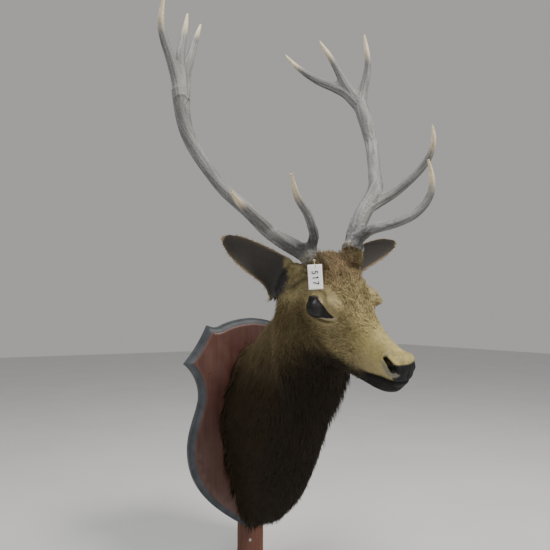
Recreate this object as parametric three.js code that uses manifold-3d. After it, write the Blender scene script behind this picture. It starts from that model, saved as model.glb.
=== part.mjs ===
// A red deer stag's head and neck, mounted on a shield board that hangs on a wall by an upright strip.
// Millimetres, +Z up. The wall is the plane y = 0, the board's centre line is x = 0, and the stag
// looks towards -Y. Its own right side is at -X.
import * as THREE from "three";
import { mergeVertices } from "three/addons/utils/BufferGeometryUtils.js";
import Module from "manifold-3d";

const wasm = await Module();
wasm.setup();

// ---------------------------------------------------------------- driving dimensions
const GAP = 0.3; // between pieces that touch
const STRIP = { width: 78, thickness: 20, top: 170, bottom: -405, centreX: 10 };
const STRIP_SCREW = { x: 4, z: -349, radius: 4.5, height: 1.6 };
const SHIELD_THICKNESS = 25;
const SHIELD_BEVEL = { width: 17, depth: 9 };
const SHIELD_TOP = 309;
const SHIELD_FOOT = -312;
const SHIELD_CURVE_STEPS = 6;
const SHIELD_BACK_Y = -(STRIP.thickness + GAP);
const FACE_Y = SHIELD_BACK_Y - SHIELD_THICKNESS; // the board's front face, where the neck starts

// The head's own frame: F runs from between the eyes towards the nose, L to the stag's left, U up.
const HEAD_OUT = 454; // from the board's face to the point between the eyes
const HEAD_X = 4;
const HEAD_Z = 343;
const HEAD_YAW = 5; // degrees, turned to the stag's left
const HEAD_PITCH = 30; // nose below the level
const HEAD_ROLL = 11; // left side up

const EYE = { f: -10, l: 72, u: -2, radius: 25 };
const BROW = { f: 20, l: 58, u: 19, size: [36, 19, 19], sides: 12 }; // the bony brow over each eye
const PEDICLE = { root: [-70, 50, 60], rootRadius: 34, middleRadius: 26, seatRadius: 24 };

const RING_SIDES = 36; // round the head and neck
const BEAM_SIDES = 12;
const TINE_SIDES = 10;
const BALL_SIDES = 16; // round an eye, a burr, a pedicle and the screw

// ---------------------------------------------------------------- materials
function material(color, roughness) {
  return new THREE.MeshStandardMaterial({ color, roughness, metalness: 0 });
}
const TAN_COAT = material(0x8a7548, 0.95);
const DARK_COAT = material(0x4a3a22, 0.95);
const DARK_MUZZLE = material(0x2b2620, 0.7);
const EAR_COAT = material(0x5b4d3a, 0.95);
const EYE_GLASS = material(0x15171c, 0.1);
const ANTLER = material(0x8f8a80, 0.7);
const BURR_BONE = material(0xa59c8a, 0.85);
const RED_WOOD = material(0x6d2f26, 0.45);
const STRIP_WOOD = material(0x6b3a2b, 0.7);
const STEEL = material(0xb9bbbd, 0.4);
const PAPER = material(0xf3f1ec, 0.85);
const STRING = material(0xd9d2c0, 0.9);

// ---------------------------------------------------------------- solids
function solidOf(geometry) {
  const bare = geometry.clone();
  bare.deleteAttribute("normal");
  bare.deleteAttribute("uv");
  const merged = mergeVertices(bare, 1e-4);
  return new wasm.Manifold(
    new wasm.Mesh({
      numProp: 3,
      vertProperties: merged.attributes.position.array,
      triVerts: new Uint32Array(merged.index.array),
    }),
  );
}

function geometryOf(solid) {
  const mesh = solid.getMesh();
  const geometry = new THREE.BufferGeometry();
  geometry.setAttribute("position", new THREE.BufferAttribute(mesh.vertProperties, 3));
  geometry.setIndex(new THREE.BufferAttribute(mesh.triVerts, 1));
  return geometry;
}

function largest(solid) {
  const pieces = solid.decompose();
  return pieces.reduce((best, piece) => (piece.volume() > best.volume() ? piece : best));
}

// A closed skin over rings of points that all have the same count, with a flat fan at each end.
function loft(rings) {
  const sides = rings[0].length;
  const points = rings.flat();
  const index = [];
  for (let r = 0; r + 1 < rings.length; r++) {
    for (let i = 0; i < sides; i++) {
      const a = r * sides + i;
      const b = r * sides + ((i + 1) % sides);
      index.push(a, b, b + sides, a, b + sides, a + sides);
    }
  }
  for (const [ring, turned] of [[0, true], [rings.length - 1, false]]) {
    const centre = points.length;
    const middle = new THREE.Vector3();
    rings[ring].forEach((p) => middle.addScaledVector(p, 1 / sides));
    points.push(middle);
    for (let i = 0; i < sides; i++) {
      const a = ring * sides + i;
      const b = ring * sides + ((i + 1) % sides);
      index.push(centre, turned ? b : a, turned ? a : b);
    }
  }
  const geometry = new THREE.BufferGeometry().setFromPoints(points);
  geometry.setIndex(index);
  return solidOf(outward(geometry));
}

// Turns the faces round where the rings ran the other way.
function outward(geometry) {
  if (solidOf(geometry).volume() > 0) return geometry;
  const index = geometry.index.array;
  for (let i = 0; i < index.length; i += 3) {
    [index[i + 1], index[i + 2]] = [index[i + 2], index[i + 1]];
  }
  return geometry;
}

// ---------------------------------------------------------------- the head's frame
const headAxes = (() => {
  const yaw = THREE.MathUtils.degToRad(HEAD_YAW);
  const pitch = THREE.MathUtils.degToRad(HEAD_PITCH);
  const roll = THREE.MathUtils.degToRad(HEAD_ROLL);
  const ahead = new THREE.Vector3(Math.sin(yaw), -Math.cos(yaw), 0);
  const level = new THREE.Vector3(Math.cos(yaw), Math.sin(yaw), 0);
  const up = new THREE.Vector3(0, 0, 1);
  const F = ahead.clone().multiplyScalar(Math.cos(pitch)).addScaledVector(up, -Math.sin(pitch));
  const U0 = ahead.clone().multiplyScalar(Math.sin(pitch)).addScaledVector(up, Math.cos(pitch));
  const L = level.clone().multiplyScalar(Math.cos(roll)).addScaledVector(U0, Math.sin(roll));
  const U = U0.clone().multiplyScalar(Math.cos(roll)).addScaledVector(level, -Math.sin(roll));
  return { F, L, U, origin: new THREE.Vector3(HEAD_X, FACE_Y - HEAD_OUT, HEAD_Z) };
})();

function onHead(f, l, u) {
  return headAxes.origin
    .clone()
    .addScaledVector(headAxes.F, f)
    .addScaledVector(headAxes.L, l)
    .addScaledVector(headAxes.U, u);
}

function alongHead(f, l, u) {
  return onHead(f, l, u).sub(headAxes.origin);
}

// ---------------------------------------------------------------- head and neck sections
// A section is a flat ring between its top and bottom points. It is widest at the share `widest` of
// its height. `flat` under 1 squares its crown, and `keel` over 1 sharpens its underside.
function section({ top, bottom, side, high, low, widest = 0.5, flat = 1, keel = 1 }, grow = 0) {
  const height = top.distanceTo(bottom);
  const up = top.clone().sub(bottom).normalize();
  const waist = widest * height;
  const ring = [];
  for (let i = 0; i < RING_SIDES; i++) {
    const angle = (2 * Math.PI * i) / RING_SIDES;
    const c = Math.cos(angle);
    const s = Math.sin(angle);
    const above = c >= 0;
    const rise = above ? (height - waist + grow) * c ** flat : -(waist + grow) * (-c) ** keel;
    const half = low + ((high - low) * (1 + c)) / 2 + grow;
    ring.push(bottom.clone().addScaledVector(up, waist + rise).addScaledVector(side, half * s));
  }
  return ring;
}

// Head sections from the nose back to the cheek: [along, top, bottom, half-width above, below].
const HEAD_SECTIONS = [
  { f: 226, top: -28, bottom: -60, high: 15, low: 13 },
  { f: 221, top: -17, bottom: -74, high: 24, low: 21 },
  { f: 212, top: -11, bottom: -95, high: 30, low: 26 },
  { f: 198, top: -8, bottom: -108, high: 32, low: 28, flat: 0.85 },
  { f: 180, top: -6, bottom: -119, high: 32, low: 29, flat: 0.85 },
  { f: 155, top: -3, bottom: -129, high: 31, low: 29, flat: 0.8 },
  { f: 128, top: 2, bottom: -136, high: 33, low: 31, flat: 0.8 },
  { f: 100, top: 9, bottom: -143, high: 38, low: 35, flat: 0.8 },
  { f: 72, top: 20, bottom: -150, high: 47, low: 41, flat: 0.8 },
  { f: 46, top: 35, bottom: -160, high: 58, low: 48, flat: 0.75 },
  { f: 22, top: 50, bottom: -166, high: 81, low: 54, flat: 0.7 },
  { f: 0, top: 59, bottom: -169, high: 91, low: 57, flat: 0.7 },
];
// Sections that swing round the throat: both ends are given in the head's frame.
const THROAT_SECTIONS = [
  { top: [-22, 67], bottom: [0, -178], high: 94, low: 60, flat: 0.75 },
  { top: [-48, 76], bottom: [2, -191], high: 97, low: 62, flat: 0.75 },
  { top: [-78, 82], bottom: [6, -206], high: 106, low: 70, flat: 0.65 },
  { top: [-106, 82], bottom: [13, -224], high: 119, low: 76, flat: 0.6, keel: 1.25 },
];
// Neck sections down to the board, [out from the face, height] of the nape and of the throat.
const NECK_SECTIONS = [
  { nape: [370, 442], throat: [334, 66], half: 126, flat: 0.6, keel: 1.4 },
  { nape: [318, 410], throat: [322, 18], half: 112, flat: 0.8, keel: 1.45 },
  { nape: [258, 370], throat: [307, -34], half: 97, flat: 1.05, keel: 1.45 },
  { nape: [195, 330], throat: [278, -100], half: 99, flat: 1.2, keel: 1.4 },
  { nape: [125, 293], throat: [224, -178], half: 106, flat: 1.35, keel: 1.45 },
  { nape: [60, 258], throat: [134, -250], half: 107, flat: 1.7, keel: 1.7 },
  { nape: [GAP, 232], throat: [GAP, -303], half: 104, flat: 1.9, keel: 2.1 },
];
const SECTION_WIDEST = 0.62; // on the head, where the brow and cheek bones are broadest
const NAPE_LEAN = -14; // sideways shift of the nape and of the throat where the neck meets the head
const THROAT_LEAN = 20;
const BOARD_WIDEST = 0.09; // how far above its middle the neck is widest at the board

function headSection(spec, grow) {
  const { f, top, bottom, ...rest } = spec;
  const ends = { top: onHead(f, 0, top), bottom: onHead(f, 0, bottom), side: headAxes.L };
  return section({ widest: SECTION_WIDEST, ...rest, ...ends }, grow);
}

function throatSection(spec, grow) {
  const { top, bottom, ...rest } = spec;
  const ends = { top: onHead(top[0], 0, top[1]), bottom: onHead(bottom[0], 0, bottom[1]) };
  return section({ widest: 0.55, ...rest, ...ends, side: headAxes.L }, grow);
}

// The neck's sections turn from the head's tilt to the board's as they come down.
function neckSection({ nape, throat, half, ...shape }, share, grow) {
  const tilt = 1 - share;
  const side = new THREE.Vector3(1, 0, 0).lerp(headAxes.L, tilt * tilt).normalize();
  const top = new THREE.Vector3(NAPE_LEAN * tilt, FACE_Y - nape[0], nape[1]);
  const bottom = new THREE.Vector3(THROAT_LEAN * tilt, FACE_Y - throat[0], throat[1]);
  const widest = 0.5 + BOARD_WIDEST * share;
  return section({ top, bottom, side, high: half, low: half, widest, ...shape }, grow);
}

function bodySections(grow = 0) {
  const last = NECK_SECTIONS.length;
  return [
    ...HEAD_SECTIONS.map((spec) => headSection(spec, grow)),
    ...THROAT_SECTIONS.map((spec) => throatSection(spec, grow)),
    ...NECK_SECTIONS.map((spec, i) => neckSection(spec, (i + 1) / last, grow)),
  ];
}
const THROAT_END = HEAD_SECTIONS.length + THROAT_SECTIONS.length - 1; // index of the last throat section

// The head and neck whole. They are two lofts, because their sections crowd at the throat.
function bodySolid(grow) {
  const rings = bodySections(grow);
  return loft(rings.slice(0, THROAT_END + 1)).add(loft(rings.slice(THROAT_END)));
}

// Parts a solid by a thin cut through a point: the piece the normal points to, then the rest.
function partedAt(solid, point, normal) {
  const ahead = normal.clone().normalize();
  const offset = ahead.dot(point);
  return [
    solid.trimByPlane(ahead.toArray(), offset + GAP / 2),
    solid.trimByPlane(ahead.clone().negate().toArray(), -offset + GAP / 2),
  ];
}

// The same rings with the first one moved a gap towards the second.
function setBack([first, next, ...others]) {
  const sides = first.length;
  const edge = first[0].clone().sub(first[sides / 2]);
  const across = first[Math.round(sides / 4)].clone().sub(first[Math.round((3 * sides) / 4)]);
  const normal = edge.cross(across).normalize();
  const moved = first.map((p, i) => {
    const step = next[i].clone().sub(p);
    return p.clone().addScaledVector(step, GAP / Math.abs(step.dot(normal)));
  });
  return [moved, next, ...others];
}

// ---------------------------------------------------------------- jaw
// The mouth's line, back and front, as [f, u] in the head's frame. The jaw is what lies below it.
const MOUTH = { backF: 100, backU: -92, frontF: 240, frontU: -66 };
const NAPE_CUT = [-106, 0, 82]; // the head is parted from the neck by the plane through these two
const JAW_CUT = [28, 0, -200];
const BRISKET_CUT = 3; // index of the neck section where the brisket starts

const SLAB = { length: 400, width: 200 };

function slabBelow(drop) {
  const slab = new THREE.BoxGeometry(SLAB.length, SLAB.width, SLAB.width);
  const slope = Math.atan2(MOUTH.frontU - MOUTH.backU, MOUTH.frontF - MOUTH.backF);
  const place = new THREE.Matrix4().makeBasis(headAxes.F, headAxes.L, headAxes.U);
  const corner = onHead(MOUTH.backF, 0, MOUTH.backU);
  slab.translate(0, 0, -SLAB.width / 2 - drop);
  slab.applyMatrix4(new THREE.Matrix4().makeRotationY(-slope));
  slab.applyMatrix4(place).translate(corner.x, corner.y, corner.z);
  return solidOf(slab);
}

// ---------------------------------------------------------------- eyes
function ball(centre, radius) {
  const geometry = new THREE.SphereGeometry(radius, BALL_SIDES, BALL_SIDES / 2);
  geometry.translate(centre.x, centre.y, centre.z);
  return solidOf(geometry);
}

function browSolid(hand) {
  const geometry = new THREE.SphereGeometry(1, BROW.sides, BROW.sides / 2);
  geometry.scale(...BROW.size);
  geometry.applyMatrix4(new THREE.Matrix4().makeBasis(headAxes.F, headAxes.L, headAxes.U));
  const { x, y, z } = onHead(BROW.f, hand * BROW.l, BROW.u);
  geometry.translate(x, y, z);
  return solidOf(geometry);
}

function eyeCentre(hand) {
  return onHead(EYE.f, hand * EYE.l, EYE.u);
}

// ---------------------------------------------------------------- tubes
// The rings of a round bar along a smooth curve through `points`, with `radii` spread along it.
function barRings(points, radii, sides, steps, grow = 0) {
  const curve = new THREE.CatmullRomCurve3(points, false, "centripetal");
  const frames = curve.computeFrenetFrames(steps, false);
  return Array.from({ length: steps + 1 }, (_, k) => {
    const t = k / steps;
    const radius = valueAlong(radii, t) + grow;
    return circle(curve.getPointAt(t), frames.normals[k], frames.binormals[k], radius, sides);
  });
}

function circle(centre, side, other, radius, sides) {
  return Array.from({ length: sides }, (_, i) => {
    const angle = (2 * Math.PI * i) / sides;
    return centre
      .clone()
      .addScaledVector(side, radius * Math.cos(angle))
      .addScaledVector(other, radius * Math.sin(angle));
  });
}

function valueAlong(values, t) {
  const place = t * (values.length - 1);
  const i = Math.min(Math.floor(place), values.length - 2);
  return values[i] + (values[i + 1] - values[i]) * (place - i);
}

// ---------------------------------------------------------------- antlers
// Points are [f, l, u] in the head's frame, with l counted outwards on both sides.
const ANTLER_PLANS = {
  left: {
    hand: 1,
    beam: [[-84, 62, 90], [-114, 86, 120], [-139, 117, 148], [-180, 181, 201], [-225, 208, 231],
      [-276, 235, 264], [-320, 255, 292], [-366, 261, 339], [-421, 261, 390]],
    brow: [[-96, 76, 106], [-54, 78, 154], [-25, 122, 179], [-6, 160, 208], [-4, 186, 250],
      [-17, 189, 290], [-34, 181, 326]],
    trez: [[-150, 138, 163], [-152, 176, 180], [-146, 207, 199], [-134, 237, 232], [-122, 263, 272],
      [-115, 275, 315], [-120, 276, 352], [-135, 274, 381]],
    top: [[-398, 262, 366], [-415, 276, 408], [-426, 287, 446], [-441, 293, 484], [-474, 290, 549]],
    middle: [[-405, 260, 372], [-456, 238, 418], [-496, 224, 459], [-525, 212, 488], [-555, 198, 515]],
    rear: [[-402, 258, 370], [-440, 241, 391], [-470, 221, 401], [-520, 187, 413], [-575, 153, 437],
      [-622, 133, 464]],
  },
  right: {
    hand: -1,
    beam: [[-84, 59, 90], [-95, 84, 101], [-127, 147, 137], [-153, 191, 179], [-215, 224, 209],
      [-272, 246, 245], [-326, 266, 292], [-358, 272, 333], [-398, 271, 393]],
    brow: [[-90, 60, 100], [-80, 62, 138], [-66, 84, 174], [-54, 111, 210], [-46, 143, 245],
      [-38, 164, 278], [-30, 180, 308]],
    trez: [[-134, 142, 136], [-122, 176, 168], [-101, 222, 203], [-77, 262, 236], [-51, 294, 268]],
    top: [[-380, 272, 372], [-408, 272, 408], [-430, 283, 456], [-445, 292, 488], [-458, 297, 524],
      [-467, 288, 580]],
    middle: [[-384, 270, 376], [-449, 251, 444], [-484, 235, 478], [-519, 215, 513], [-551, 198, 546]],
    rear: [[-376, 270, 366], [-446, 238, 414], [-502, 206, 444], [-558, 173, 479], [-622, 132, 521]],
  },
};
const BEAM_RADII = {
  left: [21, 21, 20.5, 19.5, 16.5, 16.5, 17.5, 20, 19],
  right: [20, 18, 16, 15, 14, 14.5, 16, 18, 18],
};
const BROW_RADII = { left: [14, 13, 12, 10.5, 9.5, 7, 3], right: [12, 11, 10, 9, 8, 6, 3] };
const TREZ_RADII = { left: [15, 14, 12, 10.5, 9.5, 8.5, 6.5, 3], right: [13, 12, 10, 7.5, 3] };
const CROWN_RADII = [18, 14, 11.5, 9.5, 7, 3];
const REAR_RADII = [18, 14.5, 12, 10.5, 7.5, 3];
const BEAM_STEPS = 18;
const TINE_STEPS = 7;
const BEAM_PARTING = 7; // the step just past the trez tine, where the beam is parted

function antlerPieces(side, plan) {
  const on = ([f, l, u]) => onHead(f, plan.hand * l, u);
  const beamPoints = plan.beam.map(on);
  const beam = (grow) => barRings(beamPoints, BEAM_RADII[side], BEAM_SIDES, BEAM_STEPS, grow);
  const tine = (points, radii) => {
    const rings = (grow) => barRings(points.map(on), radii, TINE_SIDES, TINE_STEPS, grow);
    return { plain: loft(rings(0)), grown: loft(rings(GAP)) };
  };
  const brow = tine(plan.brow, BROW_RADII[side]);
  const trez = tine(plan.trez, TREZ_RADII[side]);
  const top = tine(plan.top, CROWN_RADII);
  const middle = tine(plan.middle, CROWN_RADII);
  const rear = tine(plan.rear, REAR_RADII);
  const shaft = loft(beam(GAP));
  const burr = burrSolid(beamPoints, 0);
  const grownBurr = burrSolid(beamPoints, GAP);
  const crown = shaft.add(top.grown);
  return {
    burr,
    beam_lower: largest(loft(beam(0).slice(0, BEAM_PARTING + 1)).subtract(grownBurr)),
    beam_upper: loft(setBack(beam(0).slice(BEAM_PARTING))),
    brow_tine: largest(brow.plain.subtract(shaft).subtract(grownBurr)),
    trez_tine: largest(trez.plain.subtract(shaft)),
    crown_top: largest(top.plain.subtract(shaft)),
    crown_middle: largest(middle.plain.subtract(crown)),
    crown_rear: largest(rear.plain.subtract(crown.add(middle.grown))),
  };
}

// The coronet, a knobbly collar round the foot of the beam: [height, radius] up its side.
const BURR_PROFILE = [[-3, 22], [0, 27], [5, 30], [10, 29], [14, 24], [17, 18]];

function burrSolid(beamPoints, grow) {
  const axis = beamPoints[1].clone().sub(beamPoints[0]).normalize();
  const side = new THREE.Vector3(0, 0, 1).cross(axis).normalize();
  const other = axis.clone().cross(side);
  return loft(
    BURR_PROFILE.map(([height, radius]) => {
      const centre = beamPoints[0].clone().addScaledVector(axis, height);
      return circle(centre, side, other, radius + grow, BALL_SIDES);
    }),
  );
}

function pedicle(plan) {
  const [f, l, u] = PEDICLE.root;
  const root = onHead(f, plan.hand * l, u);
  const foot = onHead(plan.beam[0][0], plan.hand * plan.beam[0][1], plan.beam[0][2]);
  const next = onHead(plan.beam[1][0], plan.hand * plan.beam[1][1], plan.beam[1][2]);
  const axis = next.sub(foot).normalize();
  const seat = foot.clone().addScaledVector(axis, BURR_PROFILE[0][0] - GAP);
  const side = new THREE.Vector3(0, 0, 1).cross(axis).normalize();
  const other = axis.clone().cross(side);
  return loft([
    circle(root, side, other, PEDICLE.rootRadius, BALL_SIDES),
    circle(root.clone().lerp(seat, 0.5), side, other, PEDICLE.middleRadius, BALL_SIDES),
    circle(seat, side, other, PEDICLE.seatRadius, BALL_SIDES),
  ]);
}

// ---------------------------------------------------------------- ears
// Points on each ear's middle line, and the way its hollow faces, as [f, l, u] with l counted outwards.
const EARS = {
  left: { hand: 1, base: [-108, 58, 18], middle: [-124, 160, 44], tip: [-150, 272, 54], cup: [1, 0.15, 0.1] },
  right: { hand: -1, base: [-104, 58, 12], middle: [-112, 150, 60], tip: [-125, 268, 140], cup: [1, 0, 0.1] },
};
const EAR = { steps: 10, halfWidth: 44, rootShare: 0.72, broadest: 0.45, depth: 25, wall: 7, arc: 7 };
const EAR_LOBE = { reach: 26, at: 0.2, width: 0.11 }; // the lower edge of the ear runs down at its root

// Half-width of the ear along its length: a narrow root, broad middle and pointed tip.
function earHalfWidth(t) {
  const swell = Math.sin(Math.min(1, t / EAR.broadest) * (Math.PI / 2));
  const taper = (1 - t ** 3) ** 0.6;
  return EAR.halfWidth * (EAR.rootShare + (1 - EAR.rootShare) * swell) * taper;
}

function earSolid({ hand, base, middle, tip, cup }) {
  const on = ([f, l, u]) => onHead(f, hand * l, u);
  const curve = new THREE.CatmullRomCurve3([base, middle, tip].map(on));
  const face = alongHead(cup[0], hand * cup[1], cup[2]);
  const rings = [];
  for (let k = 0; k <= EAR.steps; k++) {
    const t = (0.985 * k) / EAR.steps;
    const axis = curve.getTangentAt(t);
    const open = face.clone().addScaledVector(axis, -face.dot(axis)).normalize();
    const across = axis.clone().cross(open);
    rings.push(earRing(curve.getPointAt(t), across, open, t, hand));
  }
  return loft(rings);
}

// The back of the ear is one arc of points and its hollow face another. The root is solid.
function earRing(centre, across, open, t, hand) {
  const half = earHalfWidth(t);
  const lobe = EAR_LOBE.reach * Math.exp(-(((t - EAR_LOBE.at) / EAR_LOBE.width) ** 2));
  const depth = EAR.depth * (half / EAR.halfWidth);
  const solid = Math.max(0, 1 - t / 0.3);
  const wall = EAR.wall * (1 - 0.55 * t) * (1 - solid) + depth * 1.5 * solid;
  const back = [];
  const front = [];
  for (let i = 0; i <= EAR.arc; i++) {
    const x = -1 + (2 * i) / EAR.arc;
    const bow = Math.sqrt(1 - 0.92 * x * x);
    const reach = x * (half + (x * hand > 0 ? lobe : 0));
    const rear = centre.clone().addScaledVector(across, reach).addScaledVector(open, -depth * bow);
    back.push(rear);
    front.unshift(rear.clone().addScaledVector(open, wall * (0.35 + 0.65 * bow)));
  }
  return [...back, ...front];
}

// ---------------------------------------------------------------- shield, strip and tag
// The shield's outline in x and z: one half is drawn from the top down, and the other mirrors it.
function shieldOutline() {
  const shape = new THREE.Shape();
  shape.moveTo(0, SHIELD_TOP);
  shape.quadraticCurveTo(62, 306, 105, 284);
  shape.quadraticCurveTo(124, 278, 143, 287);
  shape.quadraticCurveTo(172, 222, 213, 178);
  shape.bezierCurveTo(178, 150, 163, 110, 167, 72);
  shape.bezierCurveTo(175, 30, 198, -10, 198, -62);
  shape.bezierCurveTo(198, -190, 88, -256, 0, SHIELD_FOOT);
  const rightHalf = shape.getPoints(SHIELD_CURVE_STEPS);
  const outline = rightHalf.slice();
  for (let i = rightHalf.length - 2; i > 0; i--) {
    outline.push(new THREE.Vector2(-rightHalf[i].x, rightHalf[i].y));
  }
  return new THREE.Shape(outline);
}

function shieldGeometry() {
  const { width, depth } = SHIELD_BEVEL;
  const geometry = new THREE.ExtrudeGeometry(shieldOutline(), {
    depth: SHIELD_THICKNESS - depth,
    bevelEnabled: true,
    bevelThickness: depth,
    bevelSize: width,
    bevelOffset: -width,
    bevelSegments: 1,
  });
  geometry.rotateX(Math.PI / 2);
  geometry.translate(0, SHIELD_BACK_Y, 0);
  const behind = new THREE.BoxGeometry(2 * SHIELD_TOP, 2 * SHIELD_THICKNESS, 3 * SHIELD_TOP);
  behind.translate(0, SHIELD_BACK_Y + SHIELD_THICKNESS, 0);
  return geometryOf(solidOf(geometry).subtract(solidOf(behind)));
}

function stripGeometry() {
  const length = STRIP.top - STRIP.bottom;
  const geometry = new THREE.BoxGeometry(STRIP.width, STRIP.thickness, length);
  geometry.translate(STRIP.centreX, -STRIP.thickness / 2, (STRIP.top + STRIP.bottom) / 2);
  return geometry;
}

function screwGeometry() {
  const { x, z, radius, height } = STRIP_SCREW;
  const geometry = new THREE.CylinderGeometry(radius, radius, height, BALL_SIDES);
  geometry.translate(x, -(STRIP.thickness + GAP + height / 2), z);
  return geometry;
}

const TAG = { width: 32, height: 55, thickness: 0.8, hole: 2.4, holeDrop: 7 };
const TAG_CENTRE = [-27, -80, 67]; // in the head's frame, as are its two directions
const TAG_DOWN = [0.47, -0.08, -0.88];
const TAG_RIGHT = [0.5, 0.86, 0.12];
const TIE = { radius: 9, thickness: 0.7, sides: 5, steps: 12 };

function tagFrame() {
  const down = alongHead(...TAG_DOWN).normalize();
  const right = alongHead(...TAG_RIGHT);
  right.addScaledVector(down, -right.dot(down)).normalize();
  const up = down.clone().negate();
  const face = right.clone().cross(up);
  const centre = onHead(...TAG_CENTRE);
  return new THREE.Matrix4().makeBasis(right, up, face).setPosition(centre);
}

function tagGeometry() {
  const { width, height, thickness, hole, holeDrop } = TAG;
  const card = new THREE.Shape();
  card.moveTo(-width / 2, -height / 2);
  card.lineTo(width / 2, -height / 2);
  card.lineTo(width / 2, height / 2);
  card.lineTo(-width / 2, height / 2);
  card.closePath();
  const punch = new THREE.Path();
  punch.absarc(0, height / 2 - holeDrop, hole, 0, 2 * Math.PI, true);
  card.holes.push(punch);
  const options = { depth: thickness, bevelEnabled: false, curveSegments: 6 };
  return new THREE.ExtrudeGeometry(card, options).applyMatrix4(tagFrame());
}

// A string ring through the tag's hole.
function tieGeometry() {
  const geometry = new THREE.TorusGeometry(TIE.radius, TIE.thickness, TIE.sides, TIE.steps);
  geometry.rotateY(Math.PI / 2);
  geometry.translate(0, TAG.height / 2 - TAG.holeDrop + TIE.radius, TAG.thickness / 2);
  return geometry.applyMatrix4(tagFrame());
}

// ---------------------------------------------------------------- the whole mount
const mount = new THREE.Group();

function add(name, shape, look) {
  const geometry = shape.isBufferGeometry ? shape : geometryOf(shape);
  const mesh = new THREE.Mesh(geometry, look);
  mesh.name = name;
  mount.add(mesh);
}

function addHeadAndNeck() {
  const pedicles = Object.values(ANTLER_PLANS).map(pedicle);
  const brows = [1, -1].map(browSolid);
  const whole = [...pedicles, ...brows].reduce((solid, one) => solid.add(one), bodySolid(0));
  const acrossHead = onHead(...JAW_CUT).sub(onHead(...NAPE_CUT)).cross(headAxes.L);
  const [headBlock, neckBlock] = partedAt(whole, onHead(...NAPE_CUT), acrossHead);
  const [muzzleBlock, skull] = partedAt(headBlock, onHead(MOUTH.backF, 0, 0), headAxes.F);
  const cut = bodySections()[THROAT_END + 1 + BRISKET_CUT];
  const acrossNeck = cut[RING_SIDES / 2].clone().sub(cut[0]).cross(cut[RING_SIDES / 4].clone().sub(cut[0]));
  const [neck, brisket] = partedAt(neckBlock, cut[0], acrossNeck);
  const sockets = [1, -1].map((hand) => ball(eyeCentre(hand), EYE.radius + GAP));
  add("head", largest(sockets.reduce((solid, one) => solid.subtract(one), skull)), TAN_COAT);
  add("muzzle", largest(muzzleBlock.subtract(slabBelow(0))), TAN_COAT);
  add("lower_jaw", largest(muzzleBlock.intersect(slabBelow(GAP))), DARK_MUZZLE);
  add("neck", largest(neck), DARK_COAT);
  add("brisket", largest(brisket), DARK_COAT);
}

function addEyesAndEars() {
  const clearance = bodySolid(GAP);
  const hands = { left: 1, right: -1 };
  for (const [side, hand] of Object.entries(hands)) {
    add(`eye_${side}`, ball(eyeCentre(hand), EYE.radius), EYE_GLASS);
    add(`ear_${side}`, largest(earSolid(EARS[side]).subtract(clearance)), EAR_COAT);
  }
}

function addAntlers() {
  for (const [side, plan] of Object.entries(ANTLER_PLANS)) {
    for (const [name, solid] of Object.entries(antlerPieces(side, plan))) {
      add(`${name}_${side}`, solid, name === "burr" ? BURR_BONE : ANTLER);
    }
  }
}

addHeadAndNeck();
addEyesAndEars();
addAntlers();
add("shield", shieldGeometry(), RED_WOOD);
add("wall_strip", stripGeometry(), STRIP_WOOD);
add("strip_screw", screwGeometry(), STEEL);
add("tag", tagGeometry(), PAPER);
add("tag_tie", tieGeometry(), STRING);

export default mount;
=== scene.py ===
"""The looks of a red deer stag's head mount: skin, coat, antlers, glass eyes, shield and tag.

Shapes are worked out in millimetres in the part's own frame (+Z up, the wall at y = 0, the stag
looking towards -Y) and turned into metres when a mesh is made. Points on the head are given in the
head's own frame as (f, l, u): f from between the eyes towards the nose, l to its left, u up.
hill(x, centre, width) and ramp(x, low, high) take such places, and "run" is the way along the body's
middle line from the nose to the board.
"""
import itertools
import math

import bmesh
import bpy
import numpy as np
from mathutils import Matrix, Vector
from mathutils.geometry import delaunay_2d_cdt


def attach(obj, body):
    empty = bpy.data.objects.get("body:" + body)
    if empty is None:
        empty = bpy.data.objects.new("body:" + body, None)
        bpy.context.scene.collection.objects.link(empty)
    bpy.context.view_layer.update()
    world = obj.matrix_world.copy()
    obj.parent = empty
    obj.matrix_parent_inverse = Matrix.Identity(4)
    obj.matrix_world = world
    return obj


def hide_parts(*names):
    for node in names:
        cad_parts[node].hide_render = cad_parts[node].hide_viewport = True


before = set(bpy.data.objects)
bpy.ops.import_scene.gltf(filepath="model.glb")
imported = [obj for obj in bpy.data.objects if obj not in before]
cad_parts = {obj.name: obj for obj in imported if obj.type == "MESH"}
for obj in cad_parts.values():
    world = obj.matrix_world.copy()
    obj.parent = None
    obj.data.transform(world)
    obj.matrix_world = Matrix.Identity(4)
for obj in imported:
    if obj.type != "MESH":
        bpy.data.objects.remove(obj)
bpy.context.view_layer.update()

MM = 0.001
SEED = 20260
FACE_Y = -45.3  # the shield's front face
BOARD_BACK_Y = -20.3
SKIN_GAP, COAT_GAP = 0.4, 0.5  # how far skin and tufts stay off the shield's face
HAND = {"left": 1, "right": -1}
CURVE_STEPS = 24  # straight pieces to each stretch of a curve, before it is spaced evenly


# ---------------------------------------------------------------- small tools
def unit(v):
    v = np.asarray(v, float)
    return v / np.maximum(np.linalg.norm(v, axis=-1, keepdims=True), 1e-12)


def ramp(x, low, high):
    """0 below low and 1 above high, with a smooth change between."""
    t = np.clip((np.asarray(x, float) - low) / (high - low), 0, 1)
    return t * t * (3 - 2 * t)


def hill(x, centre, width):
    return np.exp(-(((x - centre) / width) ** 2))


def mix(a, b, share):
    share = np.asarray(share, float)
    if 0 < share.ndim < max(np.ndim(a), np.ndim(b)):
        share = share[..., None]
    return a + (b - a) * share


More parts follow.
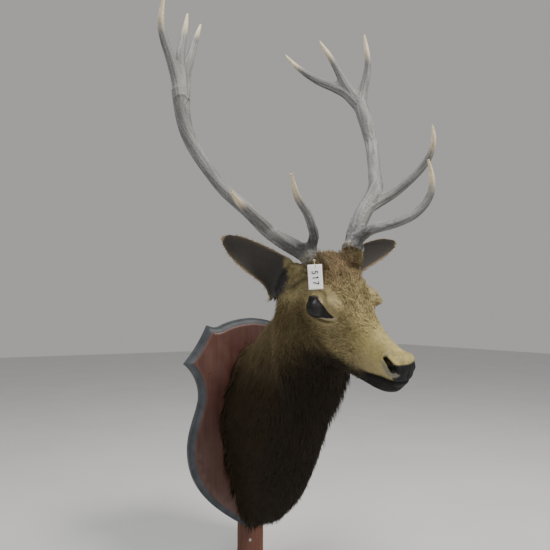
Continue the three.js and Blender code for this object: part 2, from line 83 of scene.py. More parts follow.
def lattice_value(cell, seed):
    h = (cell[..., 0] * 73856093) ^ (cell[..., 1] * 19349663) ^ (cell[..., 2] * 83492791)
    h = (h ^ (seed * 668265263)) & 0xFFFFFFFF
    h = ((h ^ (h >> 15)) * 2246822519) & 0xFFFFFFFF
    h = ((h ^ (h >> 13)) * 3266489917) & 0xFFFFFFFF
    return ((h ^ (h >> 16)) & 0xFFFF) / 32767.5 - 1


def noise(points, size, seed=0):
    """Smooth noise from -1 to 1, with features about `size` across."""
    q = np.asarray(points, float) / size
    base = np.floor(q).astype(np.int64)
    t = q - base
    t = t * t * (3 - 2 * t)
    total = np.zeros(len(q))
    for corner in itertools.product((0, 1), repeat=3):
        weight = np.prod(np.where(np.array(corner), t, 1 - t), axis=1)
        total += weight * lattice_value(base + np.array(corner), SEED + seed)
    return total


def catmull_rom(keys, steps):
    """Points or rings on a curve through all but the first and last given, so many to a stretch."""
    out = []
    for i in range(len(keys) - 3):
        a, b, c, d = keys[i : i + 4]
        for t in np.arange(0, 1, 1 / steps):
            out.append(0.5 * (2 * b + (c - a) * t + (2 * a - 5 * b + 4 * c - d) * t**2
                              + (3 * b - a - 3 * c + d) * t**3))
    return np.array(out + [keys[-2]])


def run_along(line):
    return np.r_[0, np.cumsum(np.linalg.norm(np.diff(line, axis=0), axis=1))]


def smooth_curve(points, count):
    """Points evenly spaced along a smooth curve through the given ones."""
    p = np.asarray(points, float)
    dense = catmull_rom(np.vstack([2 * p[0] - p[1], p, 2 * p[-1] - p[-2]]), CURVE_STEPS)
    run = run_along(dense)
    even = np.linspace(0, run[-1], count)
    return np.stack([np.interp(even, run, dense[:, k]) for k in range(3)], 1)


def nearest(points, line):
    """Squared distance of each point to the nearest one of a line, and that one's index."""
    best = np.full(len(points), np.inf)
    place = np.zeros(len(points), int)
    for i, centre in enumerate(line):
        d = ((points - centre) ** 2).sum(1)
        closer = d < best
        best[closer] = d[closer]
        place[closer] = i
    return best, place


def angles(count):
    return np.linspace(0, 2 * np.pi, count, endpoint=False)


def add_object(name, data):
    thing = bpy.data.objects.new(name, data)
    bpy.context.scene.collection.objects.link(thing)
    return thing


def spread(values, count):
    """Values spread evenly over `count` places, as the radii of a tapering bar are."""
    return np.interp(np.linspace(0, 1, count), np.linspace(0, 1, len(values)), values)


def make_mesh(name, verts_mm, faces):
    """A mesh object from points in millimetres and faces of one size, or a list of mixed faces."""
    mesh = bpy.data.meshes.new(name)
    verts = np.asarray(verts_mm, float) * MM
    if isinstance(faces, np.ndarray):
        count, size = faces.shape
        mesh.vertices.add(len(verts))
        mesh.vertices.foreach_set("co", verts.astype(np.float32).ravel())
        mesh.loops.add(count * size)
        mesh.loops.foreach_set("vertex_index", faces.astype(np.int32).ravel())
        mesh.polygons.add(count)
        mesh.polygons.foreach_set("loop_start", np.arange(0, count * size, size, dtype=np.int32))
    else:
        mesh.from_pydata(verts.tolist(), [], [list(map(int, f)) for f in faces])
    mesh.update(calc_edges=True)
    mesh.validate()
    return add_object(name, mesh)


def read_rows(items, name, width, kind=np.float32):
    """One property of all of a mesh's vertices, edges, corners or triangles."""
    values = np.empty(len(items) * width, kind)
    items.foreach_get(name, values)
    return values.reshape(-1, width)


def points_of(piece):
    return read_rows(piece.data.vertices, "co", 3).astype(float) / MM


def normals_of(piece):
    return read_rows(piece.data.vertices, "normal", 3).astype(float)


def move_points(piece, verts_mm):
    piece.data.vertices.foreach_set("co", (verts_mm * MM).astype(np.float32).ravel())
    piece.data.update()


def smooth_shading(piece, smooth=True):
    piece.data.polygons.foreach_set("use_smooth", np.full(len(piece.data.polygons), smooth))


def paint(piece, colours, name="coat_colour"):
    """Stores a linear colour for each point, which the materials read."""
    layer = piece.data.color_attributes.new(name, "FLOAT_COLOR", "POINT")
    rgba = np.ones((len(colours), 4), np.float32)
    rgba[:, :3] = np.clip(colours, 0, 1)
    layer.data.foreach_set("color", rgba.ravel())


def loft(rings):
    """Points and triangles of a closed skin over rings that all have the same count."""
    rings = np.asarray(rings, float)
    count, sides = rings.shape[:2]
    verts = np.vstack([rings.reshape(-1, 3), rings[0].mean(0), rings[-1].mean(0)])
    a = np.arange(sides)
    b = (a + 1) % sides
    faces = []
    for r in range(count - 1):
        low, high = r * sides, (r + 1) * sides
        faces.append(np.stack([low + a, low + b, high + b], 1))
        faces.append(np.stack([low + a, high + b, high + a], 1))
    last = (count - 1) * sides
    faces.append(np.stack([np.full(sides, count * sides), b, a], 1))
    faces.append(np.stack([np.full(sides, count * sides + 1), last + a, last + b], 1))
    faces = np.vstack(faces)
    corners = verts[faces]
    volume = np.einsum("ij,ij->i", corners[:, 0], np.cross(corners[:, 1], corners[:, 2])).sum()
    return verts, faces if volume > 0 else faces[:, ::-1]


def circle(sides, across, other):
    angle = angles(sides)
    return np.outer(np.cos(angle), across) + np.outer(np.sin(angle), other)


def bar(points, radii, sides=20, steps=60):
    """A tapering round bar along a curve."""
    centres = smooth_curve(points, steps)
    along = unit(np.gradient(centres, axis=0))
    side = unit(np.cross(along[0], (0.3, 0.2, 1.0)))
    rings = []
    for centre, axis, radius in zip(centres, along, spread(radii, steps)):
        side = unit(side - axis * side.dot(axis))
        rings.append(centre + radius * circle(sides, side, np.cross(axis, side)))
    return loft(rings)


def blob(centre, axes, radii, sides=20):
    """An ellipsoid with its radii along the three given directions."""
    lat = np.linspace(0, np.pi, sides // 2 + 1)[1:-1]
    lon = angles(sides)
    rings = []
    for a in lat:
        local = np.stack([np.sin(a) * np.cos(lon), np.sin(a) * np.sin(lon), np.full(sides, np.cos(a))], 1)
        rings.append(centre + (local * radii) @ axes)
    return loft(rings)


def join_solids(name, solids):
    verts, faces, start = [], [], 0
    for v, f in solids:
        verts.append(v)
        faces.append(f + start)
        start += len(v)
    return make_mesh(name, np.vstack(verts), np.vstack(faces))


def fuse(piece, voxel_mm):
    """Melts overlapping closed solids into one skin of even quads."""
    piece.data.remesh_voxel_size = voxel_mm * MM
    piece.data.remesh_voxel_adaptivity = 0
    bpy.context.view_layer.objects.active = piece
    piece.select_set(True)
    bpy.ops.object.voxel_remesh()
    piece.select_set(False)
    return piece


def relax(piece, rounds, share=0.5, where=None):
    """Moves each point part of the way to the middle of its neighbours."""
    co, pairs = points_of(piece), read_rows(piece.data.edges, "vertices", 2, np.int32)
    degree = np.bincount(pairs.ravel(), minlength=len(co))[:, None]
    weight = share if where is None else share * where[:, None]
    for _ in range(rounds):
        total = np.zeros_like(co)
        for k in range(3):
            total[:, k] += np.bincount(pairs[:, 0], co[pairs[:, 1], k], len(co))
            total[:, k] += np.bincount(pairs[:, 1], co[pairs[:, 0], k], len(co))
        co += weight * (total / degree - co)
    move_points(piece, co)


def refine(piece, wanted):
    """Halves the edges of the part of a mesh where wanted(points) is true."""
    mesh = bmesh.new()
    mesh.from_mesh(piece.data)
    co = np.array([v.co for v in mesh.verts]) / MM
    flag = wanted(co)
    edges = [e for e in mesh.edges if flag[e.verts[0].index] and flag[e.verts[1].index]]
    bmesh.ops.subdivide_edges(mesh, edges=edges, cuts=1, use_grid_fill=True)
    mesh.to_mesh(piece.data)
    mesh.free()
    piece.data.update()


def thin_out(piece, wanted, triangles):
    """Merges small faces where wanted(points) is true, until the piece has so many triangles."""
    group = piece.vertex_groups.new(name="thin_out")
    group.add(np.flatnonzero(wanted(points_of(piece))).tolist(), 1.0, "REPLACE")
    piece.data.calc_loop_triangles()
    merge = piece.modifiers.new("thin_out", "DECIMATE")
    merge.vertex_group = group.name
    merge.ratio = triangles / len(piece.data.loop_triangles)
    bpy.context.view_layer.objects.active = piece
    bpy.ops.object.modifier_apply(modifier=merge.name)
    piece.vertex_groups.clear()


# ---------------------------------------------------------------- the head's frame
HEAD_ORIGIN = np.array([4.0, FACE_Y - 454.0, 343.0])
HEAD_YAW, HEAD_PITCH, HEAD_ROLL = 5, 30, 11  # degrees


def head_axes():
    yaw, pitch, roll = np.radians([HEAD_YAW, HEAD_PITCH, HEAD_ROLL])
    ahead = np.array([math.sin(yaw), -math.cos(yaw), 0])
    level = np.array([math.cos(yaw), math.sin(yaw), 0])
    up = np.array([0, 0, 1.0])
    forward = ahead * math.cos(pitch) - up * math.sin(pitch)
    upright = ahead * math.sin(pitch) + up * math.cos(pitch)
    left = level * math.cos(roll) + upright * math.sin(roll)
    return np.array([forward, left, upright * math.cos(roll) - level * math.sin(roll)])


HEAD = head_axes()


def on_head(flu):
    return HEAD_ORIGIN + np.asarray(flu, float) @ HEAD


def in_head(points):
    return (points - HEAD_ORIGIN) @ HEAD.T


def mirrored(flu):
    """The points with those on the head's right brought over to its left."""
    return np.stack([flu[:, 0], np.abs(flu[:, 1]), flu[:, 2]], 1)


def on_side(flu, side):
    """Points given with l counted outwards, on one side of the head."""
    return on_head(np.array(flu) * (1, HAND[side], 1))


def on_either_side(share):
    """The larger of a share's values for the two sides."""
    return np.maximum(*(share(side) for side in HAND))


# ---------------------------------------------------------------- head and neck outline
RING_SIDES = 72
RING_STEPS = 5  # extra rings between two sections


def section(top, bottom, side, high, low, widest=0.5, flat=1, keel=1):
    """A ring between its top and bottom points, widest at a share of its height."""
    height = np.linalg.norm(top - bottom)
    up = (top - bottom) / height
    c, s = np.cos(angles(RING_SIDES)), np.sin(angles(RING_SIDES))
    waist = widest * height
    rise = np.where(c >= 0, (height - waist) * np.abs(c) ** flat, -waist * np.abs(c) ** keel)
    half = low + (high - low) * (1 + c) / 2
    return bottom + np.outer(waist + rise, up) + np.outer(half * s, side)


# From the nose back to the cheek: along, top, bottom, half-width above and below, flatness.
HEAD_SECTIONS = [
    (226, -28, -60, 15, 13, 1), (221, -17, -74, 24, 21, 1), (212, -11, -95, 30, 26, 1),
    (198, -8, -108, 32, 28, 0.85), (180, -6, -119, 32, 29, 0.85), (155, -3, -129, 31, 29, 0.8),
    (128, 2, -136, 33, 31, 0.8), (100, 9, -143, 38, 35, 0.8), (72, 20, -150, 47, 41, 0.8),
    (46, 35, -160, 58, 48, 0.75), (22, 50, -166, 81, 54, 0.7), (0, 59, -169, 91, 57, 0.7),
]
# Sections that swing round the throat: top and bottom as (f, u), then as above.
THROAT_SECTIONS = [
    ((-22, 67), (0, -178), 94, 60, 0.75, 1), ((-48, 76), (2, -191), 97, 62, 0.75, 1),
    ((-78, 82), (6, -206), 106, 70, 0.65, 1), ((-106, 82), (13, -224), 119, 76, 0.6, 1.25),
]
# Down to the board: nape and throat as (out from the board, height), half-width, flatness, keel.
NECK_SECTIONS = [
    ((370, 442), (334, 66), 126, 0.6, 1.4), ((318, 410), (322, 18), 112, 0.8, 1.45),
    ((258, 370), (307, -34), 97, 1.05, 1.45), ((195, 330), (278, -100), 99, 1.2, 1.4),
    ((125, 293), (224, -178), 106, 1.35, 1.45), ((60, 258), (134, -250), 107, 1.7, 1.7),
    ((0.5, 232), (0.5, -303), 104, 1.9, 2.1),
]


def body_rings():
    rings = []
    for f, top, bottom, high, low, flat in HEAD_SECTIONS:
        rings.append(section(on_head((f, 0, top)), on_head((f, 0, bottom)), HEAD[1], high, low, 0.62, flat))
    for top, bottom, high, low, flat, keel in THROAT_SECTIONS:
        ends = on_head((top[0], 0, top[1])), on_head((bottom[0], 0, bottom[1]))
        rings.append(section(*ends, HEAD[1], high, low, 0.55, flat, keel))
    for i, (nape, throat, half, flat, keel) in enumerate(NECK_SECTIONS):
        share = (i + 1) / len(NECK_SECTIONS)
        tilt = 1 - share
        side = unit(mix(np.array([1.0, 0, 0]), HEAD[1], tilt**2))
        top = np.array([-14 * tilt, FACE_Y - nape[0], nape[1]])
        bottom = np.array([20 * tilt, FACE_Y - throat[0], throat[1]])
        rings.append(section(top, bottom, side, half, half, 0.5 + 0.09 * share, flat, keel))
    return np.array(rings)


def between(rings, steps):
    """Rings through the given ones."""
    return catmull_rom(np.concatenate([rings[:1], rings, rings[-1:]]), steps)


BODY_KEYS = body_rings()
BODY_AXIS = between(BODY_KEYS, RING_STEPS).mean(1)  # the middle line, from the nose to the board
BODY_RUN = run_along(BODY_AXIS)
BODY_WAY = unit(np.gradient(BODY_AXIS, axis=0))


def along_body(points):
    """For each point, the nearest place on the body's middle line, as an index."""
    return nearest(points, BODY_AXIS)[1]


def body_run(points):
    return BODY_RUN[along_body(points)]


# ---------------------------------------------------------------- ears
EARS = {  # root, middle and tip with l counted outwards, then the way that the hollow faces
    "left": ((-108, 58, 18), (-124, 160, 44), (-150, 272, 54), (1, 0.15, 0.1)),
    "right": ((-104, 58, 12), (-112, 150, 60), (-125, 268, 140), (1, 0, 0.1)),
}
EAR_HALF, EAR_DEPTH, EAR_WALL = 42, 25, 6.5
EAR_LOBE = {"reach": 27, "at": 0.2, "width": 0.11}  # the lower edge runs down at the ear's root
EAR_ROOT_END = 0.26  # share of the ear's length that is a closed tube
EAR_STEPS, EAR_ARC = 44, 22


def ear_line(side):
    """Centres, directions across, and directions that the hollow faces, along an ear."""
    *points, cup = EARS[side]
    line = smooth_curve(on_side(points, side), EAR_STEPS)
    way = unit(np.gradient(line, axis=0))
    face = (np.array(cup) * (1, HAND[side], 1)) @ HEAD
    cup_way = unit(face - way * (way @ face)[:, None])
    return line, way, np.cross(way, cup_way), cup_way


def ear_half(t):
    swell = np.sin(np.minimum(1, t / 0.45) * np.pi / 2)
    return EAR_HALF * (0.72 + 0.28 * swell) * (1 - np.minimum(t, 0.985) ** 3) ** 0.6


def ear_reach(t, x, side):
    """How far the ear's edge lies from its line, on the side that `x` is on."""
    lobe = EAR_LOBE["reach"] * hill(t, EAR_LOBE["at"], EAR_LOBE["width"])
    return ear_half(t) + lobe * (np.sign(x) == HAND[side])


def ear_rings(side):
    line, _, across, cup_way = ear_line(side)
    rings = []
    x = np.linspace(-1, 1, EAR_ARC)
    bow = np.sqrt(1 - 0.92 * x**2)
    for k in range(EAR_STEPS):
        t = k / (EAR_STEPS - 1)
        depth = EAR_DEPTH * ear_half(t) / EAR_HALF
        solid = max(0, 1 - t / EAR_ROOT_END)
        wall = EAR_WALL * (1 - 0.3 * t) * (1 - solid) + depth * 2.0 * solid
        back = line[k] + np.outer(ear_reach(t, x, side) * x, across[k]) - np.outer(depth * bow, cup_way[k])
        front = back + np.outer(wall * (0.35 + 0.65 * bow), cup_way[k])
        rings.append(np.vstack([back, front[::-1]]))
    return rings


def ear_place(points, side):
    """Where points lie on an ear: distance to its line, share along, offsets, and step of the line."""
    line, _, across, cup_way = ear_line(side)
    best, place = nearest(points, line)
    offset = points - line[place]
    x = (offset * across[place]).sum(1)
    y = (offset * cup_way[place]).sum(1)
    return np.sqrt(best), place / (EAR_STEPS - 1), x, y, place


# ---------------------------------------------------------------- eyes
EYE_RADIUS = 25
EYE_AT = {"left": np.array([-10, 72, -2.0]), "right": np.array([-10, -72, -2.0])}
EYE_LOOK = np.array([0.42, 0.905, 0.05])  # (f, outwards, u)
EYE_AHEAD = np.array([0.816, -0.355, -0.457])  # along the opening, towards its front corner
BROW_AT, BROW_SIZE = (20, 58, 19), (36, 19, 19)
NOSE_AT, NOSE_SIZE = (205, 0, -38), (17, 26, 25)
NOSTRIL_AT, NOSTRIL_SIZE = (196, 22, -29), (19, 15, 16)
EAR_FOLD = {"at": 0.13, "out": 10, "size": (25, 52, 25)}  # the swelling that ties an ear to the head
# The opening's edges, as (ahead along it, up across it) from the ball's middle.
UPPER_LID = np.array([(-31, 8), (-28, 11), (-22, 15.5), (-13, 20.5), (-4, 22), (5, 21.5), (14, 19.5),
                      (24, 17), (33, 16), (42, 16)])
LOWER_LID = np.array([(-31, 8), (-27, 1), (-20, -8), (-12, -13.5), (-2, -16), (9, -15), (19, -10),
                      (30, -1), (42, 13)])
LID_CREASE = np.array([(-22, -20), (-8, -25), (6, -26), (20, -21), (34, -10), (48, 4)])
LID_DROP = {"left": 5, "right": 0}  # one upper lid hangs lower at the back
LID_FLOOR = 10  # how far out the skin behind the opening lies from the ball's middle
LID_THICKNESS = 2.6
LID_BLEND = 4.0  # how softly the lids melt into the face


def eye_place(flu, side):
    """Distances ahead along the eye's opening, up across it, and outwards, and those three ways."""
    out = unit(EYE_LOOK)
    ahead = unit(EYE_AHEAD - out * EYE_AHEAD.dot(out))
    axes = np.array([ahead, np.cross(ahead, out), out]) * (1, HAND[side], 1)
    return (flu - EYE_AT[side]) @ axes.T, axes


def lid_edge(a, b, side):
    """Distance outside the eye's opening (negative inside)."""
    top = np.interp(a, UPPER_LID[:, 0], UPPER_LID[:, 1]) - LID_DROP[side] * ramp(a, 5, -12)
    low = np.interp(a, LOWER_LID[:, 0], LOWER_LID[:, 1])
    beyond = np.maximum(np.maximum(UPPER_LID[0, 0] - a, a - UPPER_LID[-1, 0]), 0)
    gap = np.maximum(b - top, low - b)
    return np.where(beyond > 0, np.hypot(beyond, np.maximum(gap, 0)), gap)


def crease_hill(a, b, width):
    low = np.interp(a, LID_CREASE[:, 0], LID_CREASE[:, 1])
    back, front = LID_CREASE[0, 0], LID_CREASE[-1, 0]
    return hill(b, low, width) * (ramp(a, back - 8, back + 6) * ramp(a, front + 6, front - 8))


def shape_eye(flu, side):
    """Drapes the lids over the ball, opens them, and presses in the creases."""
    place, axes = eye_place(flu, side)
    near = (np.hypot(place[:, 0], place[:, 1]) < 80) & (place[:, 2] > -30)
    a, b, out = place[near].T
    edge = lid_edge(a, b, side)
    inside = EYE_RADIUS**2 - a**2 - b**2
    ball = np.where(inside > 0, np.sqrt(np.maximum(inside, 0)), -30)
    draped = ball + LID_THICKNESS
    higher = 0.5 * (out + draped + np.sqrt((out - draped) ** 2 + LID_BLEND**2)) - 0.5 * LID_BLEND
    out = np.where(edge < 14, np.maximum(out, higher), out)
    out = out + 1.6 * hill(edge, 2.2, 2.2)  # the lids' thick rims
    out = out - 3.2 * crease_hill(a, b, 3.5)
    out = out + 1.8 * crease_hill(a, b + 8, 5)
    out = out - 2.0 * hill(edge, 11, 3) * ramp(b, 14, 24)  # the fold over the upper lid
    out = mix(out, LID_FLOOR, ramp(edge, 0.5, -1.6))
    place[near, 2] = out
    flu[near] = place[near] @ axes + EYE_AT[side]
    return flu


# ---------------------------------------------------------------- nose and mouth
MOUTH_LINE = np.array([(104, -101), (120, -99), (136, -95), (162, -82), (188, -70), (214, -62), (232, -58)])


def mouth_height(f):
    return np.interp(f, MOUTH_LINE[:, 0], MOUTH_LINE[:, 1])


def segment_distance(p, a, b):
    """Distance of points to a segment, and the share along it."""
    a, b = np.asarray(a, float), np.asarray(b, float)
    t = np.clip(((p - a) @ (b - a)) / ((b - a) @ (b - a)), 0, 1)
    return np.linalg.norm(p - a - t[:, None] * (b - a), axis=1), t


NOSTRIL = {"back": (190, 36, -17), "front": (210, 30, -29)}
NOSTRIL_INTO = (-0.62, -0.6, -0.5)
NOSTRIL_FOLD = (172, 36, -24), (190, 34, -34)  # the ends of the fold behind it
MUZZLE_MIDDLE = np.array([170.0, 0, -52])  # its forms are pushed in or out from here


def nostril_distance(flu):
    """Distance from the left nostril's line, seen along the way into it, and the share along it."""
    into = unit(np.array(NOSTRIL_INTO))
    back, front = np.array(NOSTRIL["back"], float), np.array(NOSTRIL["front"], float)
    flat = flu - back
    deep = flat @ into
    flat = back + flat - np.outer(deep, into)
    front = front - into * ((front - back) @ into)
    d, t = segment_distance(flat, back, front)
    return np.where(deep < 30, d, 99), t


def shape_muzzle(flu):
    """Nostrils, the groove under the nose, the mouth's line and the lip's roll."""
    near = flu[:, 0] > 80
    p = flu[near]
    away = unit(p - MUZZLE_MIDDLE)
    d, t = nostril_distance(mirrored(p))
    width = 3.2 + 3.4 * t
    hole = ramp(d, width + 1.6, width - 1.6)
    wing = hill(d, width + 4.5, 3.5)
    push = -14 * hole + 2.2 * wing
    push -= 2.2 * hill(segment_distance(mirrored(p), *NOSTRIL_FOLD)[0], 0, 4.5)
    side = np.abs(p[:, 1])
    front = ramp(p[:, 0], 196, 214)
    push -= 1.8 * hill(side, 0, 1.6) * front * ramp(p[:, 2], -14, -24) * ramp(p[:, 2], -62, -50)
    gap = p[:, 2] - mouth_height(p[:, 0])
    reach = ramp(p[:, 0], 100, 112)
    push -= 4.2 * hill(gap, 0, 2.4) * reach
    push += 2.0 * hill(gap, 9, 6) * reach * (1 - 0.5 * front)
    push += 1.2 * hill(gap, -8, 5) * reach
    flu[near] = p + away * push[:, None]
    return flu


# ---------------------------------------------------------------- the skin
def coat_depth(place):
    """How far the skin lies under the outline that the coat's tips reach."""
    run = BODY_RUN[place]
    return 2.0 + 2.5 * ramp(run, 90, 230) + 10 * ramp(run, 300, 620)


def ear_mask(points):
    """Share of each ear that a point belongs to, past the part that melts into the head."""
    def share(side):
        d, t = ear_place(points, side)[:2]
        return ramp(d, 70, 62) * ramp(t, 0.16, 0.24)
    return on_either_side(share)


def skin_solids():
    """The closed forms that are melted into one skin: body, ears, pedicles, brows and nose."""
    solids = [loft(between(BODY_KEYS, RING_STEPS))]
    for side, hand in HAND.items():
        solids.append(loft(ear_rings(side)))
        line, way, across, cup_way = ear_line(side)
        k = round(EAR_FOLD["at"] * EAR_STEPS)
        fold = line[k] + hand * EAR_FOLD["out"] * across[k]
        solids.append(blob(fold, np.array([way[k], across[k], cup_way[k]]), EAR_FOLD["size"]))
        solids.append(pedicle(side))
        solids.append(blob(on_side(BROW_AT, side), HEAD, BROW_SIZE))
    solids.append(blob(on_head(NOSE_AT), HEAD, NOSE_SIZE))
    for side in HAND:
        solids.append(blob(on_side(NOSTRIL_AT, side), HEAD, NOSTRIL_SIZE))
    return solids


def pedicle(side):
    root, foot = on_side((-70, 50, 60), side), on_side(BEAMS[side]["beam"][0], side)
    return bar([root, (root + foot) / 2, foot], [34, 28, 24], 24, 12)


def wanted_fine(points):
    """The stretches of skin with the finest features: round the eyes, nose and mouth."""
    flu = in_head(points)
    nose = (flu[:, 0] > 92) & (flu[:, 2] < 12)
    eyes = np.zeros(len(points), bool)
    for side in EYE_AT:
        a, b, out = eye_place(flu, side)[0].T
        eyes |= (np.abs(a - 8) < 50) & (np.abs(b) < 36) & (out > -10)
    return nose | eyes


def under_mane(points):
    return (body_run(points) > MANE_START) & (ear_mask(points) == 0)


def make_skin():
    skin = fuse(join_solids("skin", skin_solids()), SKIN_VOXEL)
    relax(skin, 6)
    co = points_of(skin)
    at_board = co[:, 1] > FACE_Y - 3
    depth = np.where(ear_mask(co) > 0.5, EAR_COAT_DEPTH, coat_depth(along_body(co)))
    move_points(skin, co - normals_of(skin) * np.where(at_board, 0, depth)[:, None])
    relax(skin, 2, where=(~at_board).astype(float))
    refine(skin, wanted_fine)
    relax(skin, 2, where=wanted_fine(points_of(skin)).astype(float))
    flu = shape_muzzle(in_head(points_of(skin)))
    for side in EYE_AT:
        flu = shape_eye(flu, side)
    co = on_head(shape_face(flu))
    co[:, 1] = np.minimum(co[:, 1], FACE_Y - SKIN_GAP)
    move_points(skin, co)
    relax(skin, 1, 0.35, where=wanted_fine(co).astype(float))
    smooth_shading(skin)
    co = points_of(skin)
    paint(skin, coat_colour(co, along_body(co)) * SKIN_SHADE)
    return skin


EAR_CREASE = np.array([(-62, 68, 66), (-72, 83, 40), (-84, 94, 16), (-102, 101, -12), (-122, 104, -40)],
                      float)  # the fold in front of an ear's root
# How far out, then f with its width, and u with its slope along f and its width.
FACE_FORMS = [
    (3.5, (10, 34), (-96, 0, 34)),  # the cheek's muscle
    (2.5, (62, 30), (-42, -0.25, 9)),  # the crest below the eye
    (-3.0, (66, 26), (-74, 0, 15)),  # the hollow under it
    (-3.0, (118, 30), (-52, 0, 16)),  # the hollow ahead of it
    (-3.5, (-62, 20), (-10, 0, 26)),  # the dip of the temple
]


def shape_face(flu):
    """Cheek, crest and temple, and the fold in front of the ear, pushed straight out to the side."""
    f, l, u = mirrored(flu).T
    out = 0
    for push, (f_at, f_width), (u_at, slope, u_width) in FACE_FORMS:
        out = out + push * hill(f, f_at, f_width) * hill(u, u_at + slope * (f - f_at), u_width)
    out *= ramp(l, 14, 30) * (f > -120)
    crease = crease_distance(flu)
    out += (2.5 * hill(crease, 12, 6) - 4.0 * hill(crease, 0, 6)) * ramp(l, 40, 60)
    flu[:, 1] += np.sign(flu[:, 1]) * out
    return flu


# ---------------------------------------------------------------- colours of skin and coat
TAN = np.array([0.375, 0.305, 0.150])
PALE_TAN = np.array([0.470, 0.388, 0.160])
FOREHEAD_RED = np.array([0.265, 0.180, 0.102])
# Browner hair, and also the colour of painted shade on the cheek and in the creases.
CHEEK_BROWN_AND_SHADE = np.array([0.145, 0.107, 0.048])
PEDICLE_DARK = np.array([0.075, 0.058, 0.042])
PEDICLE_SHADE = {"left": 0.2, "right": 0.65}
NECK_TOP = np.array([0.165, 0.125, 0.062])
MANE_DARK = np.array([0.036, 0.024, 0.012])
THROAT_DARK_AND_SHADE = np.array([0.026, 0.019, 0.012])
MUZZLE_DARK_AND_SHADE = np.array([0.011, 0.009, 0.007])
PAD_BLACK = np.array([0.014, 0.014, 0.016])
NOSTRIL_PALE = np.array([0.300, 0.280, 0.215])
LID_PINK = np.array([0.360, 0.250, 0.200])
LID_PALE = np.array([0.520, 0.430, 0.350])
EYE_SKIN = np.array([0.022, 0.019, 0.018])
EAR_HOLLOW_SHADE = np.array([0.068, 0.062, 0.058])
EAR_RIM = np.array([0.420, 0.320, 0.200])
EAR_OUTSIDE = np.array([0.150, 0.110, 0.062])


def crease_distance(flu):
    """Distance from the fold in front of an ear's root."""
    flat = np.array([1, 0.4, 1])
    near, ends = mirrored(flu) * flat, EAR_CREASE * flat
    return np.min([segment_distance(near, a, b)[0] for a, b in zip(ends[:-1], ends[1:])], axis=0)


def pad_share(flu):
    """The bare black nose pad and upper lip."""
    f, l, u = mirrored(flu).T
    upper_edge = -21 + 0.55 * (f - 214) + 0.10 * l
    back_edge = 203 - 0.55 * (u + 40)
    return ramp(u, upper_edge + 2.5, upper_edge - 2.5) * ramp(f, back_edge - 4, back_edge + 3)


def coat_colour(points, place):
    """Linear colour of skin and coat at points on the animal: the same for both."""
    flu = in_head(points)
    f, l, u = mirrored(flu).T
    run = BODY_RUN[place]
    blotch = noise(points, 34, 1) * 0.5 + noise(points, 13, 2) * 0.5
    colour = mix(TAN, PALE_TAN, (ramp(f, 40, 140) * ramp(u, -72, -30) * 0.95)[:, None])
    # The back and lower cheek: browner hair, with painted shade towards the jaw and neck.
    colour = mix(colour, CHEEK_BROWN_AND_SHADE, ramp(f + 0.6 * u, 20, -70) * ramp(u, 20, -50) * 0.95)
    colour = mix(colour, FOREHEAD_RED, ramp(f, 22, -30) * ramp(u, 20, 50) * ramp(l, 58, 40)
                 * (0.75 + 0.45 * blotch))
    patchy = ramp(noise(points, 7, 4), 0.0, 0.5) * ramp(f, 100, 40) * ramp(u, 5, 35)
    colour = mix(colour, CHEEK_BROWN_AND_SHADE * 0.8, patchy * (1 - near_eye(points) * 0.7) * 0.6)
    for side in HAND:
        colour = mix(colour, PEDICLE_DARK, ramp(foot_distance(points, side), 62, 34) * PEDICLE_SHADE[side])
    colour = mix(colour, NECK_TOP, ramp(run, 255, 350))
    mane = ramp(run, 300, 420) * ramp(points[:, 2], 300 + 40 * blotch, 120 + 40 * blotch)
    colour = mix(colour, MANE_DARK, mane)
    # Below the jaw line: the throat's dark hair and painted shade under the jaw.
    jaw_line = -92 - 0.10 * (100 - f) + 8 * blotch
    under = ramp(u, jaw_line + 14, jaw_line - 26) * ramp(f, -70, 0)
    colour = mix(colour, THROAT_DARK_AND_SHADE, under * 0.95)
    # Below the mouth: the lower lip's dark colour and painted shade under the mouth.
    lip = ramp(u, mouth_height(f) + 10 + 3 * blotch, mouth_height(f) + 1) * ramp(f, 104, 140)
    colour = mix(colour, MUZZLE_DARK_AND_SHADE, lip)
    d, t = nostril_distance(mirrored(flu))
    below = ramp(u, -18 - 0.6 * (f - 190), -24 - 0.6 * (f - 190)) * ramp(l, 14, 20)
    crescent = ramp(d, 18 + 3 * t, 13 + 3 * t) * below * ramp(f, 172, 180)
    # Painted shade inside the nostrils.
    colour = mix(colour, MUZZLE_DARK_AND_SHADE * 0.5, ramp(d, 6.5 + 3 * t, 3.5 + 3 * t) * 0.95)
    colour = mix(colour, PAD_BLACK, pad_share(flu))
    colour = mix(colour, NOSTRIL_PALE, crescent * ramp(d, 5.5 + 3 * t, 7.5 + 3 * t) * 0.85)
    colour = colour * (1 + 0.16 * blotch + 0.16 * noise(points, 5, 3))[:, None]
    colour = paint_ears(paint_eyes(colour, flu), points)
    # Painted shade in the fold in front of each ear's root.
    return mix(colour, CHEEK_BROWN_AND_SHADE * 0.3, hill(crease_distance(flu), 0, 5) * ramp(l, 40, 60) * 0.8)


def paint_eyes(colour, flu):
    for side in EYE_AT:
        a, b, out = eye_place(flu, side)[0].T
        edge = lid_edge(a, b, side)
        here = ramp(out, -6, 0)
        # Painted shade in the crease under each eye.
        colour = mix(colour, CHEEK_BROWN_AND_SHADE * 0.45, crease_hill(a, b, 3.5) * 0.8 * here)
        colour = mix(colour, EYE_SKIN * 2.2, ramp(edge, 7, 3) * ramp(b, 6, -6) * 0.6 * here)
        pink = hill(edge, 1.6, 1.0) * ramp(b, 5, 11) * ramp(a, 10, -6)
        colour = mix(colour, LID_PINK, pink * 0.7 * here)
        pale = hill(edge, 3.0, 2.0) * ramp(b, 19, 12) * ramp(a, 12, 24)
        colour = mix(colour, LID_PALE, pale * here)
        colour = mix(colour, EYE_SKIN, ramp(edge, 1.8, 0.4) * here)
    return colour


